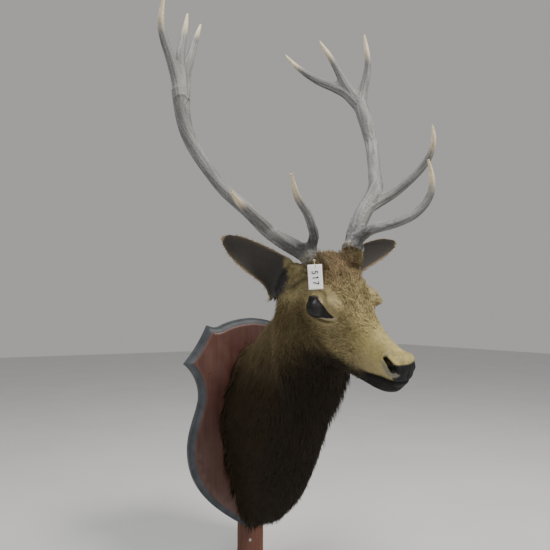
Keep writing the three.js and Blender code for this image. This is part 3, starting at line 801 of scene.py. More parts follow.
def paint_ears(colour, points):
    for side in EARS:
        d, t, x, y, _ = ear_place(points, side)
        across = x / ear_reach(t, x, side)
        rim = ramp(np.abs(x) / ear_reach(t, x, side), 0.84, 0.96) * ramp(t, 0.26, 0.4)
        rim = np.maximum(rim, ramp(t, 0.95, 0.985))
        back = -EAR_DEPTH * ear_half(t) / EAR_HALF * np.sqrt(np.clip(1 - 0.92 * across**2, 0, 1))
        low = HAND[side] * x / ear_reach(t, x, side)
        start = 0.205 - 0.07 * low + 0.03 * low**2  # the hollow's lower end, slanting across the ear
        hollow = ramp(y - back, 2.0, 4.0) * ramp(t, start - 0.012, start + 0.012)
        shade = mix(EAR_OUTSIDE, TAN * 0.9, ramp(t, 0.38, 0.2)[:, None])
        # The hollow is painted dark grey: painted shade in the ear's cup.
        shade = mix(mix(shade, EAR_HOLLOW_SHADE, hollow), EAR_RIM, rim)
        colour = mix(colour, shade, ramp(d, 70, 52) * ramp(t, 0.0, 0.08))
    return colour


# ---------------------------------------------------------------- antlers
# Middle lines as (f, l, u), with l counted outwards on both sides.
BEAMS = {
    "left": {
        "beam": [(-84, 62, 90), (-114, 86, 120), (-139, 117, 148), (-180, 181, 201), (-225, 208, 231),
                 (-276, 235, 264), (-320, 255, 292), (-366, 261, 339), (-421, 261, 390)],
        "brow": [(-96, 76, 106), (-54, 78, 154), (-25, 122, 179), (-6, 160, 208), (-4, 186, 250),
                 (-17, 189, 290), (-34, 181, 326)],
        "trez": [(-150, 138, 163), (-152, 176, 180), (-146, 207, 199), (-134, 237, 232), (-122, 263, 272),
                 (-115, 275, 315), (-120, 276, 352), (-135, 274, 381)],
        "top": [(-398, 262, 366), (-415, 276, 408), (-426, 287, 446), (-441, 293, 484), (-474, 290, 549)],
        "middle": [(-405, 260, 372), (-456, 238, 418), (-496, 224, 459), (-525, 212, 488), (-555, 198, 515)],
        "rear": [(-402, 258, 370), (-440, 241, 391), (-470, 221, 401), (-520, 187, 413), (-575, 153, 437),
                 (-622, 133, 464)],
    },
    "right": {
        "beam": [(-84, 59, 90), (-95, 84, 101), (-127, 147, 137), (-153, 191, 179), (-215, 224, 209),
                 (-272, 246, 245), (-326, 266, 292), (-358, 272, 333), (-398, 271, 393)],
        "brow": [(-90, 60, 100), (-80, 62, 138), (-66, 84, 174), (-54, 111, 210), (-46, 143, 245),
                 (-38, 164, 278), (-30, 180, 308)],
        "trez": [(-134, 142, 136), (-122, 176, 168), (-101, 222, 203), (-77, 262, 236), (-51, 294, 268)],
        "top": [(-380, 272, 372), (-408, 272, 408), (-430, 283, 456), (-445, 292, 488), (-458, 297, 524),
                (-467, 288, 580)],
        "middle": [(-384, 270, 376), (-449, 251, 444), (-484, 235, 478), (-519, 215, 513), (-551, 198, 546)],
        "rear": [(-376, 270, 366), (-446, 238, 414), (-502, 206, 444), (-558, 173, 479), (-622, 132, 521)],
    },
}
CROWN_RADII = {"top": [18, 14, 11.5, 9.5, 7, 2.6], "middle": [18, 14, 11.5, 9.5, 7, 2.6],
               "rear": [18, 14.5, 12, 10.5, 7.5, 2.6]}
BAR_RADII = {
    "left": {"beam": [21, 21, 20.5, 19.5, 16.5, 16.5, 17.5, 20, 19], "brow": [14, 13, 12, 10.5, 9.5, 7, 2.6],
             "trez": [15, 14, 12, 10.5, 9.5, 8.5, 6.5, 2.6], **CROWN_RADII},
    "right": {"beam": [20, 18, 16, 15, 14, 14.5, 16, 18, 18], "brow": [12, 11, 10, 9, 8, 6, 2.6],
              "trez": [13, 12, 10, 7.5, 2.6], **CROWN_RADII},
}
# Each antler's own darker base, with painted shade over it, far deeper on the right.
BASE_DARK_AND_SHADE = {"left": 0.35, "right": 0.75}  # how dark each antler is above its burr
WEB = 5  # the forks are filled to this radius
BURR_PROFILE = [(-8, 26), (0, 29), (4, 32), (8, 32), (12, 29), (16, 26)]  # with the web's depth
ANTLER_VOXEL = 1.8
ANTLER_DARK = np.array([0.055, 0.054, 0.054])
ANTLER_GREY = np.array([0.260, 0.256, 0.250])
ANTLER_IVORY = np.array([0.640, 0.540, 0.370])
BURR_PALE = np.array([0.330, 0.300, 0.240])


def burr(foot, axis):
    side = unit(np.cross((0.2, 0.3, 1.0), axis))
    angle = angles(40)
    round_foot = circle(40, side, np.cross(axis, side))
    rings = []
    for height, radius in BURR_PROFILE:
        knob = radius * (1 + 0.05 * np.sin(angle * 9 + height) + 0.04 * np.sin(angle * 14 + 2 * height))
        rings.append(foot + axis * height + knob[:, None] * round_foot)
    return loft(rings)


def antler_lines(side):
    return {name: on_side(points, side) for name, points in BEAMS[side].items()}


def foot_distance(points, side):
    return np.linalg.norm(points - antler_lines(side)["beam"][0], axis=1)


def make_antler(side):
    lines = antler_lines(side)
    solids = [bar(points, np.array(BAR_RADII[side][name]) + WEB) for name, points in lines.items()]
    solids.append(burr(lines["beam"][0], unit(lines["beam"][1] - lines["beam"][0])))
    antler = fuse(join_solids("antler_" + side, solids), ANTLER_VOXEL)
    relax(antler, 8)
    move_points(antler, points_of(antler) - normals_of(antler) * WEB)
    relax(antler, 3)
    co = points_of(antler)
    run, tip, groove = antler_place(co, lines)
    # Knots up the beam, finer ones at the burr, and grooves along the beam and tines.
    knots = np.maximum(noise(co, 5.5, 11), 0) ** 1.5 * 1.3 * (0.1 + ramp(run, 240, 40)) * (1 - tip)
    knots += np.maximum(noise(co, 3.6, 12), 0) * 1.4 * ramp(run, 40, 12)
    grooves = groove * 0.55 * (1 - tip) * ramp(run, 6, 30)
    move_points(antler, co + normals_of(antler) * (knots + grooves)[:, None])
    smooth_shading(antler)
    # The normal's upward part is painted light: tops lighter, undersides in painted shade.
    shade = 0.62 + 0.42 * groove + 0.3 * knots + 0.22 * normals_of(antler)[:, 2]
    # Darker towards the burr: the antler's darker base and painted shade.
    shade -= BASE_DARK_AND_SHADE[side] * ramp(run, 130, 20)
    grey = mix(ANTLER_DARK, ANTLER_GREY, np.clip(shade, 0, 1)[:, None])
    worn = ramp(run, 34, 10) * np.clip(0.35 + 0.5 * noise(co, 6, 13) + 0.2 * knots, 0, 1)
    colour = mix(mix(grey, BURR_PALE, worn), ANTLER_IVORY, tip)
    paint(antler, colour * (1 + 0.10 * noise(co, 22, 14))[:, None])
    return antler


def antler_place(co, lines):
    """Where points lie on an antler: run from the burr, share of ivory tip, and lengthwise groove."""
    best = np.full(len(co), np.inf)
    run = np.zeros(len(co))
    tip = np.zeros(len(co))
    spin = np.zeros((len(co), 3))
    for name, points in lines.items():
        line = smooth_curve(points, 90)
        way = unit(np.gradient(line, axis=0))
        length = np.linalg.norm(np.diff(line, axis=0), axis=1).sum()
        start = 0 if name == "beam" else np.linalg.norm(points[0] - lines["beam"][0])
        for i in range(len(line)):
            offset = co - line[i]
            d = (offset**2).sum(1)
            closer = d < best
            best[closer] = d[closer]
            t = i / (len(line) - 1)
            run[closer] = start + t * length
            tip[closer] = 0 if name == "beam" else ramp((1 - t) * length, 88, 34)
            flat = offset[closer] - way[i] * (offset[closer] @ way[i])[:, None]
            spin[closer] = unit(flat) * 9 + way[i] * (t * length * 0.045)
    return run, tip, noise(spin, 1.9, 15)


# ---------------------------------------------------------------- glass eyes
EYE_SIDES = 64
EYE_PUPIL = np.array([0.006, 0.007, 0.010])
EYE_IRIS = np.array([0.030, 0.020, 0.014])
EYE_EDGE = np.array([0.020, 0.020, 0.022])


def make_eye(side):
    """A glass ball that bulges a little in front, with a long pupil painted on it."""
    centre = on_head(EYE_AT[side])
    axes = eye_place(np.zeros((1, 3)), side)[1] @ HEAD
    lon = angles(EYE_SIDES)
    rings = []
    for a in np.linspace(0, np.pi, 41)[1:-1]:
        r = EYE_RADIUS + 1.6 * ramp(np.cos(a), 0.62, 0.9) - 1.0
        local = [r * np.sin(a) * np.cos(lon), r * np.sin(a) * np.sin(lon), np.full(EYE_SIDES, r * np.cos(a))]
        rings.append(centre + np.stack(local, 1) @ axes)
    verts, faces = loft(rings)
    eye = make_mesh("eyeball_" + side, verts, faces)
    smooth_shading(eye)
    local = (verts - centre) @ axes.T
    pupil = np.hypot(local[:, 0] / 11, local[:, 1] / 6)
    colour = mix(EYE_PUPIL, EYE_IRIS, (ramp(pupil, 0.9, 1.15) * 0.5)[:, None])
    paint(eye, mix(colour, EYE_EDGE, ramp(np.hypot(local[:, 0], local[:, 1]), 13, 15)))
    return eye


# ---------------------------------------------------------------- coat
BAKE_PATCH = 0.003  # the size of a tuft's patch on the bake map
TRIANGLE_LIMIT = 190000  # for each piece of coat
ROOT_DEPTH = 0.6  # how deep a tuft starts in the skin


def bake_place(points, place):
    """Where points lie on an unwrap of the skin: round the body and along it, and the ears beside."""
    way = BODY_WAY[place]
    side = unit(np.cross(way, (0, 0, 1)))
    up = np.cross(side, way)
    offset = points - BODY_AXIS[place]
    turn = np.arctan2((offset * side).sum(1), -(offset * up).sum(1)) / (2 * np.pi) + 0.5
    uv = np.stack([0.02 + 0.96 * turn, 0.02 + 0.74 * BODY_RUN[place] / BODY_RUN[-1]], 1)
    for i, side_name in enumerate(EARS):
        d, t, x, y, _ = ear_place(points, side_name)
        here = (d < 48) & (t > 0.12)
        face = np.where(y > -EAR_DEPTH * 0.7, 0, 1)
        u = 0.03 + 0.25 * (2 * i + face) + 0.2 * (x / EAR_HALF + 1) / 2
        uv[here] = np.stack([u, 0.79 + 0.19 * t], 1)[here]
    return uv


def scatter(skin, density, seed):
    """Roots on the skin's triangles, so many for each square millimetre, with their normals."""
    skin.data.calc_loop_triangles()
    tri = read_rows(skin.data.loop_triangles, "vertices", 3, np.int32)
    co, normal = points_of(skin), normals_of(skin)
    a, b, c = co[tri[:, 0]], co[tri[:, 1]], co[tri[:, 2]]
    area = np.linalg.norm(np.cross(b - a, c - a), axis=1) / 2
    rng = np.random.default_rng(SEED + seed)
    count = rng.poisson(area * density((a + b + c) / 3))
    pick = np.repeat(np.arange(len(tri)), count)
    r1, r2 = np.sqrt(rng.random(len(pick))), rng.random(len(pick))
    w = np.stack([1 - r1, r1 * (1 - r2), r1 * r2], 1)[:, :, None]
    corners = tri[pick]
    return (co[corners] * w).sum(1), unit((normal[corners] * w).sum(1)), rng


def coat_way(points, normal, place):
    """The lie of the coat: back along the face, down the neck, and out along the ears."""
    flu = in_head(points)
    run = BODY_RUN[place]
    sag = 0.15 + 0.25 * ramp(run, 120, 260) + 0.75 * ramp(run, 300, 460)
    way = BODY_WAY[place] + sag[:, None] * np.array([0, 0, -1.0])
    crown = ramp(flu[:, 0], 20, -40) * ramp(flu[:, 2], 20, 45)
    way = mix(way, -HEAD[0] + 0.5 * HEAD[2], crown)
    for side in EARS:
        d, t, x, _, k = ear_place(points, side)
        _, line_way, across, _ = ear_line(side)
        here = ramp(d, 52, 44) * ramp(t, 0.04, 0.14)
        out = line_way[k] + (0.5 * x / EAR_HALF)[:, None] * across[k]
        way = mix(way, out, here)
    return unit(way - normal * (way * normal).sum(1, keepdims=True))


def turned(way, normal, angle):
    side = np.cross(normal, way)
    return way * np.cos(angle)[:, None] + side * np.sin(angle)[:, None]


def tuft_arrays(root, normal, way, length, width, segments, lift, curl, phase):
    """Points of all tufts: rings of three points along each, narrowing to one at the tip."""
    side = np.cross(normal, way)
    s = np.linspace(0, 1, segments + 1)
    points = []
    for k in range(segments + 1):
        rise = lift * length * (s[k] - 0.45 * s[k] ** 2)
        wave = curl * length * np.sin(phase + 5.0 * s[k]) * s[k]
        hump = curl * length * (1 - np.cos(4.2 * s[k])) * 0.35
        centre = root - normal * ROOT_DEPTH + way * (length * s[k])[:, None]
        centre = centre + normal * (rise + hump)[:, None] + side * wave[:, None]
        if k == segments:
            points.append(centre)
            break
        w = width * (1 - s[k] ** 1.5) * (0.75 + 0.25 * math.sin(math.pi * min(1, 2 * s[k]))) / 2
        half = side * w[:, None]
        points += [centre - half, centre + half, centre + normal * (0.55 * w)[:, None]]
    return np.stack(points, 1)


def share_along(count, segments):
    """How far along its tuft each of its points lies."""
    return np.minimum(np.arange(count) // 3, segments) / segments


def tuft_faces(segments):
    faces = [(0, 2, 1)]
    for k in range(segments - 1):
        low, high = 3 * k, 3 * k + 3
        for i in range(3):
            j = (i + 1) % 3
            faces += [(low + i, low + j, high + j), (low + i, high + j, high + i)]
    low, tip = 3 * (segments - 1), 3 * segments
    faces += [(low + i, low + (i + 1) % 3, tip) for i in range(3)]
    return np.array(faces)


def coat_piece(name, verts, segments, colour, uv):
    """One mesh of tufts, with their colours and their patches on the bake map."""
    count, per = verts.shape[:2]
    faces = (tuft_faces(segments)[None] + (np.arange(count) * per)[:, None, None]).reshape(-1, 3)
    piece = make_mesh(name, verts.reshape(-1, 3), faces)
    smooth_shading(piece)
    paint(piece, colour.reshape(-1, 3))
    x = np.array([[0, 1, 0.5][i % 3] if i < per - 1 else 0.5 for i in range(per)])
    patch = uv[:, None] + BAKE_PATCH * (np.stack([x, share_along(per, segments)], 1) - 0.5)[None]
    layer = piece.data.uv_layers.new(name="OFBake")
    corner = read_rows(piece.data.loops, "vertex_index", 1, np.int32)[:, 0]
    layer.data.foreach_set("uv", patch.reshape(-1, 2)[corner].astype(np.float32).ravel())
    return piece


def grow(skin, name, seed, density, length, width, segments, lift, curl=0.0, swirl=0.2, loose=0.12, tone=0.2):
    """Grows one kind of tuft: `density` and `length` may be functions of the roots."""
    thin = 1.0
    root, normal, rng = scatter(skin, lambda points: density(points) * thin, seed)
    place = along_body(root)
    n = len(root)
    angle = swirl * noise(root, 26, seed) * 1.6 + loose * rng.standard_normal(n)
    way = turned(coat_way(root, normal, place), normal, angle)
    size = (length(root, place) if callable(length) else length) * (0.75 + 0.5 * rng.random(n))
    lifts = lift * (0.6 + 0.8 * rng.random(n))
    widths = width * (0.8 + 0.4 * rng.random(n))
    verts = tuft_arrays(root, normal, way, size, widths, segments, lifts, curl, 6.28 * rng.random(n))
    tones = (1 + tone * rng.standard_normal(n) * 0.6)[:, None, None]
    s = share_along(verts.shape[1], segments)
    colour = coat_colour(root, place)[:, None] * (0.72 + 0.42 * s)[None, :, None] * np.clip(tones, 0.55, 1.6)
    verts[:, :, 1] = np.minimum(verts[:, :, 1], FACE_Y - COAT_GAP)
    uv = bake_place(root, place)
    parts = max(1, math.ceil(n / (TRIANGLE_LIMIT // len(tuft_faces(segments)))))
    pieces = []
    for i, chosen in enumerate(np.array_split(np.argsort(place, kind="stable"), parts)):
        label = f"{name}_{i + 1}" if parts > 1 else name
        pieces.append(coat_piece(label, verts[chosen], segments, colour[chosen], uv[chosen]))
    return pieces


def bare_share(points):
    """Where no hair grows: nose pad, nostrils, lids, tear slits, antlers, and the side on the board."""
    flu = in_head(points)

    def at_eye_or_antler(side):
        a, b, out = eye_place(flu, side)[0].T
        lids = ramp(lid_edge(a, b, side), 6.5, 4.5) * (out > -6)
        return np.maximum(lids, ramp(foot_distance(points, side), 21, 18))

    bare = np.maximum(pad_share(flu), ramp(nostril_distance(mirrored(flu))[0], 9, 7))
    bare = np.maximum(bare, on_either_side(at_eye_or_antler))
    return np.maximum(bare, (points[:, 1] > FACE_Y - 2).astype(float))


def density_between(start, end, each_mm2):
    """Tufts for each square millimetre on the stretch of body between two runs."""
    def density(points):
        run = body_run(points)
        here = ramp(run, start[0], start[1] + 0.01) * ramp(run, end[1] + 0.01, end[0])
        return each_mm2 * here * (1 - ear_mask(points)) * (1 - bare_share(points))
    return density


def ear_density(points):
    return 0.16 * (ear_mask(points) > 0.3)


def ear_hair_length(points, place):
    def rim(side):
        d, t, x = ear_place(points, side)[:3]
        return ramp(np.abs(x) / ear_reach(t, x, side), 0.8, 0.98) * ((d < 70) & (t > 0.16))
    return 5.5 + 5.0 * on_either_side(rim)


def near_eye(points):
    """Share of nearness to an eye, where the coat is shortest."""
    flu = in_head(points)
    return on_either_side(lambda side: ramp(np.linalg.norm(flu - EYE_AT[side] - (10, 0, 6), axis=1), 62, 42))


def near_ear(points):
    """Share of nearness to the root of an ear, where the coat is short too."""
    return on_either_side(lambda side: ramp(ear_place(points, side)[0], 72, 48))


def face_length(points, place):
    return 9.5 - 5.0 * near_eye(points)


def mane_length(points, place):
    return 42 - 20 * ramp(points[:, 2], -230, -280) * ramp(points[:, 1], -105, -70)


def throat_length(points, place):
    return 22 - 13 * near_ear(points)


FLECKS = density_between((100, 160), (380, 460), 0.055)


def fleck_density(points):
    return FLECKS(points) * (1 - near_eye(points)) * (1 - near_ear(points))


def fleck_length(points, place):
    return 11 + 12 * ramp(BODY_RUN[place], 200, 340)


def crown_length(points, place):
    return 14 - 6 * on_either_side(lambda side: ramp(foot_distance(points, side), 55, 30))


def crown_density(points):
    flu = in_head(points)
    here = ramp(flu[:, 0], 48, 22) * ramp(flu[:, 0], -112, -98) * ramp(flu[:, 2], 22, 38)
    here = here * ramp(np.abs(flu[:, 1]), 72, 52)
    return 0.06 * (here * (1 - ear_mask(points)) * (1 - bare_share(points)) * (1 - near_eye(points)))


COAT = {  # what each kind of tuft is grown with, in millimetres, tufts to a square one, and shares
    "coat_muzzle": dict(seed=1, density=density_between((0, 4), (110, 180), 0.36), length=5.5, width=1.1,
                        segments=2, lift=0.25, swirl=0.35, tone=0.35),
    "coat_face": dict(seed=2, density=density_between((90, 170), (270, 300), 0.22), length=face_length,
                      width=1.5, segments=2, lift=0.26, swirl=0.35),
    "coat_flecks": dict(seed=7, density=fleck_density, length=fleck_length, width=2.2, segments=3, lift=0.36,
                        curl=0.16, swirl=0.6, loose=0.4, tone=0.7),
    "coat_crown": dict(seed=3, density=crown_density, length=crown_length, width=2.2, segments=4, lift=0.5,
                       curl=0.3, swirl=1.2, loose=0.6, tone=0.45),
    "coat_throat": dict(seed=4, density=density_between((270, 300), (400, 450), 0.13), length=throat_length,
                        width=2.2, segments=3, lift=0.24, curl=0.05, swirl=0.3),
    "coat_mane": dict(seed=5, density=density_between((400, 450), (2000, 2100), 0.075), length=mane_length,
                      width=3.0, segments=4, lift=0.2, curl=0.05, swirl=0.3),
    "coat_ears": dict(seed=6, density=ear_density, length=ear_hair_length, width=1.2, segments=2, lift=0.25),
}
COAT_SLOTS = {"coat_throat": "dark_coat", "coat_mane": "dark_coat", "coat_ears": "ear_coat"}


# ---------------------------------------------------------------- shield
SHIELD_SIDE = 16  # height of the board's outer edge; its face is 25 above its back
SHIELD_THICKNESS = 25
BEVEL_WIDTH = 17
COVE_RISE = 6.0
SHIELD_AIM = (0, 20)  # the rows of points at its corners run towards here
SHIELD_CURVES = [  # from the top point down the stag's left: control points of each stretch
    [(0, 309), (62, 306), (105, 284)],
    [(105, 284), (124, 278), (143, 287)],
    [(143, 287), (172, 222), (213, 178)],
    [(213, 178), (178, 150), (163, 110), (167, 72)],
    [(167, 72), (175, 30), (198, -10), (198, -62)],
    [(198, -62), (198, -190), (88, -256), (0, -312)],
]
SHIELD_CORNERS = [(143, 287), (213, 178), (0, -312)]
# Distances from the edge of the rows of points that the board's front is built on.
SHIELD_ROWS = (0.6, 1.3, 2, 3, 5, 7.5, 10, 12.5, 14.6, 15.4, 15.9, 16.5, BEVEL_WIDTH, 24, 40, 70, 110)
FACE_SLOT, RIM_SLOT, BACK_SLOT = 0, 1, 2


def bezier(control, t):
    points = np.array(control, float)[None].repeat(len(t), 0)
    while points.shape[1] > 1:
        points = points[:, :-1] * (1 - t)[:, None, None] + points[:, 1:] * t[:, None, None]
    return points[:, 0]


def shield_outline():
    half = np.vstack([bezier(c, np.linspace(0, 1, 30, endpoint=False)) for c in SHIELD_CURVES])
    half = np.vstack([half, SHIELD_CORNERS[-1:]])
    return np.vstack([half, half[1:-1][::-1] * (-1, 1)])


def outline_distance(points, outline):
    """Distance of points inside to the closed outline."""
    a, b = outline, np.roll(outline, -1, axis=0)
    best = np.full(len(points), np.inf)
    for p, q in zip(a, b):
        step = q - p
        t = np.clip(((points - p) @ step) / (step @ step), 0, 1)
        best = np.minimum(best, ((points - p - t[:, None] * step) ** 2).sum(1))
    return np.sqrt(best)


def board_height(d):
    """The moulded edge: a rounded lip, a hollow, and a small step up to the face."""
    lip = SHIELD_SIDE - 2 + 2 * np.sqrt(np.clip(1 - (1 - np.clip(d / 2, 0, 1)) ** 2, 0, 1))
    cove = COVE_RISE * np.clip((d - 3) / (BEVEL_WIDTH - 4.5), 0, 1) ** 1.8
    step = (SHIELD_THICKNESS - SHIELD_SIDE - COVE_RISE) * ramp(d, BEVEL_WIDTH - 1.6, BEVEL_WIDTH)
    return lip + cove + step


def make_shield():
    outline = shield_outline()
    inward = np.roll(outline, 1, axis=0) - np.roll(outline, -1, axis=0)
    inward = unit(np.stack([-inward[:, 1], inward[:, 0]], 1))
    if inward[0, 1] > 0:
        inward = -inward
    rows = [outline]
    for d in SHIELD_ROWS:
        row = outline + inward * d
        keep = outline_distance(row, outline) > d - 0.05
        rows.append(row[keep][:: 1 if d < 20 else 3])
    for x, z in SHIELD_CORNERS:
        for sign in (1, -1) if x else (1,):
            toward = unit(np.array(SHIELD_AIM) - (x, z))
            line = np.array([x, z]) + np.outer(np.linspace(1, 26, 22), toward)
            rows.append(line * (sign, 1))
    count = len(outline)
    points = [Vector(p) for p in np.vstack(rows)]
    filled = delaunay_2d_cdt(points, [], [list(range(count))], 1, 1e-4)
    flat = np.array([tuple(v) for v in filled[0]])
    d = outline_distance(flat, outline)
    d[:count] = 0
    front = np.stack([flat[:, 0], BOARD_BACK_Y - board_height(d), flat[:, 1]], 1)
    back = np.stack([outline[:, 0], np.full(count, BOARD_BACK_Y), outline[:, 1]], 1)
    faces = [tuple(t) for t in filled[2]]
    first = len(front)
    for i in range(count):
        j = (i + 1) % count
        faces.append((i, j, first + j, first + i))
    faces.append(tuple(first + i for i in range(count)))
    shield = make_mesh("shield_board", np.vstack([front, back]), faces)
    mesh = bmesh.new()
    mesh.from_mesh(shield.data)
    bmesh.ops.recalc_face_normals(mesh, faces=mesh.faces)
    mesh.to_mesh(shield.data)
    mesh.free()
    smooth_shading(shield)
    wear = np.zeros((first + count, 3))
    wear[:first, 0] = np.maximum(hill(d, 1.2, 1.6), hill(d, BEVEL_WIDTH, 1.2))
    paint(shield, wear, "edge_wear")
    inside = np.r_[d, np.zeros(count)]
    for polygon in shield.data.polygons:
        depth = inside[list(polygon.vertices)].mean()
        polygon.material_index = RIM_SLOT if depth < BEVEL_WIDTH - 1.0 else FACE_SLOT
        if polygon.normal.y > 0.7:
            polygon.material_index = BACK_SLOT
            polygon.use_smooth = False
    return shield


def make_nail():
    """A nail's head in the board, on the stag's right."""
    centre = np.array([-141, FACE_Y, 151.0])
    nail = make_mesh("board_nail", *blob(centre, np.eye(3), (2.6, 1.0, 2.6), 24))
    smooth_shading(nail)
    return nail


# ---------------------------------------------------------------- strip and screw
STRIP = {"x": (-29, 49), "y": (-20, 0), "z": (-405, 170)}
SCREW = {"x": 4, "y": -20.3, "z": -349, "radius": 4.5, "height": 1.6}


def make_strip():
    mesh = bmesh.new()
    bmesh.ops.create_cube(mesh, size=1)
    low = np.array([STRIP[k][0] for k in "xyz"]) * MM
    high = np.array([STRIP[k][1] for k in "xyz"]) * MM
    for v in mesh.verts:
        v.co = (low + high) / 2 + np.array(v.co) * (high - low)
    bmesh.ops.bevel(mesh, geom=mesh.edges[:], offset=1.6 * MM, segments=3, affect="EDGES")
    data = bpy.data.meshes.new("strip_board")
    mesh.to_mesh(data)
    mesh.free()
    strip = add_object("strip_board", data)
    smooth_shading(strip, False)
    return strip


def make_screw():
    """A domed screw head with a crossed recess."""
    sides, rings = 48, 14
    angle = angles(sides)
    layers = []
    for k in range(rings + 1):
        r = SCREW["radius"] * (1 - k / (rings + 0.5))
        dome = SCREW["height"] * math.sqrt(max(0, 1 - (r / (SCREW["radius"] * 1.05)) ** 2))
        x, z = r * np.cos(angle), r * np.sin(angle)
        arm = np.minimum(np.abs(x), np.abs(z))
        slot = ramp(arm, 0.75, 0.45) * ramp(r, 2.9, 2.5)  # where the recess is sunk
        layers.append(np.stack([x, -dome + 1.0 * slot, z], 1))
    base = layers[0] * (1, 0, 1)
    place = np.array([SCREW["x"], SCREW["y"], SCREW["z"]])
    screw = make_mesh("screw_head", *loft(np.array([base] + layers) + place))
    smooth_shading(screw)
    return screw


# ---------------------------------------------------------------- tag
TAG = {"width": 32, "height": 55, "thickness": 0.8}
TAG_CENTRE = (-27, -80, 67)
TAG_DOWN = (0.47, -0.08, -0.88)
TAG_RIGHT = (0.5, 0.86, 0.12)
DIGITS = {  # pen strokes in a box one high and 0.6 wide
    "5": [[(0.52, 1), (0.12, 0.98), (0.08, 0.58), (0.36, 0.62), (0.54, 0.36), (0.36, 0.04), (0.04, 0.08)]],
    "1": [[(0.14, 0.76), (0.34, 1), (0.32, 0)]],
    "7": [[(0.04, 0.96), (0.56, 0.98), (0.34, 0.5), (0.22, 0)]],
}
TAG_NUMBER = "517"
TAG_CURL = {"along": 1.6, "across": 0.6}  # how far its edges bend off the flat
STRING_DOWN = 7  # how far below the card's top edge the string goes through it
STRING_LOOP = 9  # the loop's radius
DIGIT_HEIGHT, DIGIT_STEP = 12.5, 11.5


def tag_axes():
    down = unit(np.array(TAG_DOWN) @ HEAD)
    right = np.array(TAG_RIGHT) @ HEAD
    right = unit(right - down * (right @ down))
    return right, -down, np.cross(right, -down)


def tag_point(x, y, z=0.0):
    right, up, face = tag_axes()
    x, y, z = np.broadcast_arrays(np.asarray(x, float), y, z)
    curl = TAG_CURL["along"] * (y / TAG["height"] * 2) ** 2 * np.sign(-y)
    curl = curl - TAG_CURL["across"] * (x / TAG["width"] * 2) ** 2
    flat = on_head(TAG_CENTRE) + x[..., None] * right + y[..., None] * up
    return flat + (z + curl)[..., None] * face


def make_tag():
    across, along = 13, 21
    x = np.linspace(-TAG["width"] / 2, TAG["width"] / 2, across)
    y = np.linspace(TAG["height"] / 2, -TAG["height"] / 2, along)
    rings = []
    for row in y:
        front = tag_point(x, row, TAG["thickness"])
        back = tag_point(x[::-1], row, 0.0)
        rings.append(np.vstack([front, back]))
    return make_mesh("tag_card", *loft(rings))


def make_digits():
    """The tag's number, in pen strokes that run down the card."""
    solids = []
    for i, digit in enumerate(TAG_NUMBER):
        for stroke in DIGITS[digit]:
            s = np.array(stroke)
            y = DIGIT_STEP * (1 - i) - DIGIT_STEP * (s[:, 0] - 0.3) - 1.5
            x = DIGIT_HEIGHT * (s[:, 1] - 0.5) + 0.8 * (i - 1)
            points = tag_point(x, y, TAG["thickness"] + 0.05)
            solids.append(bar(points, [1.15, 1.0, 1.1], 6, 24))
    digits = join_solids("tag_number", solids)
    smooth_shading(digits)
    return digits


def make_tie():
    """A small closed loop of string through the card's upper end, with its knot and two tails."""
    low = TAG["height"] / 2 - STRING_DOWN
    loop = []
    for a in np.linspace(0, 2 * np.pi, 26):
        up, out = STRING_LOOP * (1 - math.cos(a)), STRING_LOOP * math.sin(a)
        loop.append(tag_point(1.2 * math.sin(2 * a), low + up, 0.4 + out))
    solids = [bar(loop, [0.65, 0.65], 8, 90)]
    knot = tag_point(0, low + 2 * STRING_LOOP, 0.4)
    for across, down in ((3, 4), (-3.5, 2)):
        end = tag_point(across, low + 2 * STRING_LOOP - down, 4.0)
        solids.append(bar([knot, (knot + end) / 2 + (0, 0, 1), end], [1.0, 0.5], 8, 10))
    tie = join_solids("tag_string", solids)
    smooth_shading(tie)
    return tie


# ---------------------------------------------------------------- materials
class Nodes:
    """A small helper that adds shader nodes and wires them up."""

    def __init__(self, name):
        self.material = bpy.data.materials.new(name)
        self.material.use_nodes = True
        self.tree = self.material.node_tree
        self.shader = self.tree.nodes["Principled BSDF"]

    def add(self, kind, inputs=None, **settings):
        node = self.tree.nodes.new(kind)
        for key, value in settings.items():
            setattr(node, key, value)
        for key, value in (inputs or {}).items():
            self.feed(node.inputs[key], value)
        return node

    def feed(self, socket, value):
        if isinstance(value, bpy.types.NodeSocket):
            self.tree.links.new(value, socket)
        else:
            socket.default_value = value

    def set(self, **values):
        for key, value in values.items():
            self.feed(self.shader.inputs[key.replace("_", " ")], value)

    def noise(self, scale, detail=4, roughness=0.55, stretch=(1, 1, 1)):
        """Noise in the piece's own space, with its grain drawn out where `stretch` is small."""
        place = self.add("ShaderNodeTexCoord").outputs["Object"]
        place = self.add("ShaderNodeMapping", {"Vector": place, "Scale": stretch}).outputs[0]
        settings = {"Vector": place, "Scale": scale, "Detail": detail, "Roughness": roughness}
        return self.add("ShaderNodeTexNoise", settings).outputs["Fac"]

    def ramp(self, value, *stops):
        """A blend between two colours, or greys given as single numbers, from one position to another."""
        node = self.add("ShaderNodeValToRGB", {"Fac": value})
        for element, (position, colour) in zip(node.color_ramp.elements, stops):
            element.position = position
            element.color = (*(colour if isinstance(colour, tuple) else [colour] * 3), 1)
        return node.outputs["Color"]

    def blend(self, kind, share, a, b):
        node = self.add("ShaderNodeMix", data_type="RGBA", blend_type=kind)
        self.feed(node.inputs[0], share)
        self.feed(node.inputs[6], a)
        self.feed(node.inputs[7], b)
        return node.outputs[2]

    def maths(self, operation, a, b):
        node = self.add("ShaderNodeMath", operation=operation)
        self.feed(node.inputs[0], a)
        self.feed(node.inputs[1], b)
        return node.outputs[0]

    def bump(self, height, distance, strength):
        node = self.add("ShaderNodeBump", {"Height": height, "Distance": distance, "Strength": strength})
        self.set(Normal=node.outputs[0])

    def painted(self, name="coat_colour"):
        return self.add("ShaderNodeAttribute", attribute_name=name).outputs["Color"]


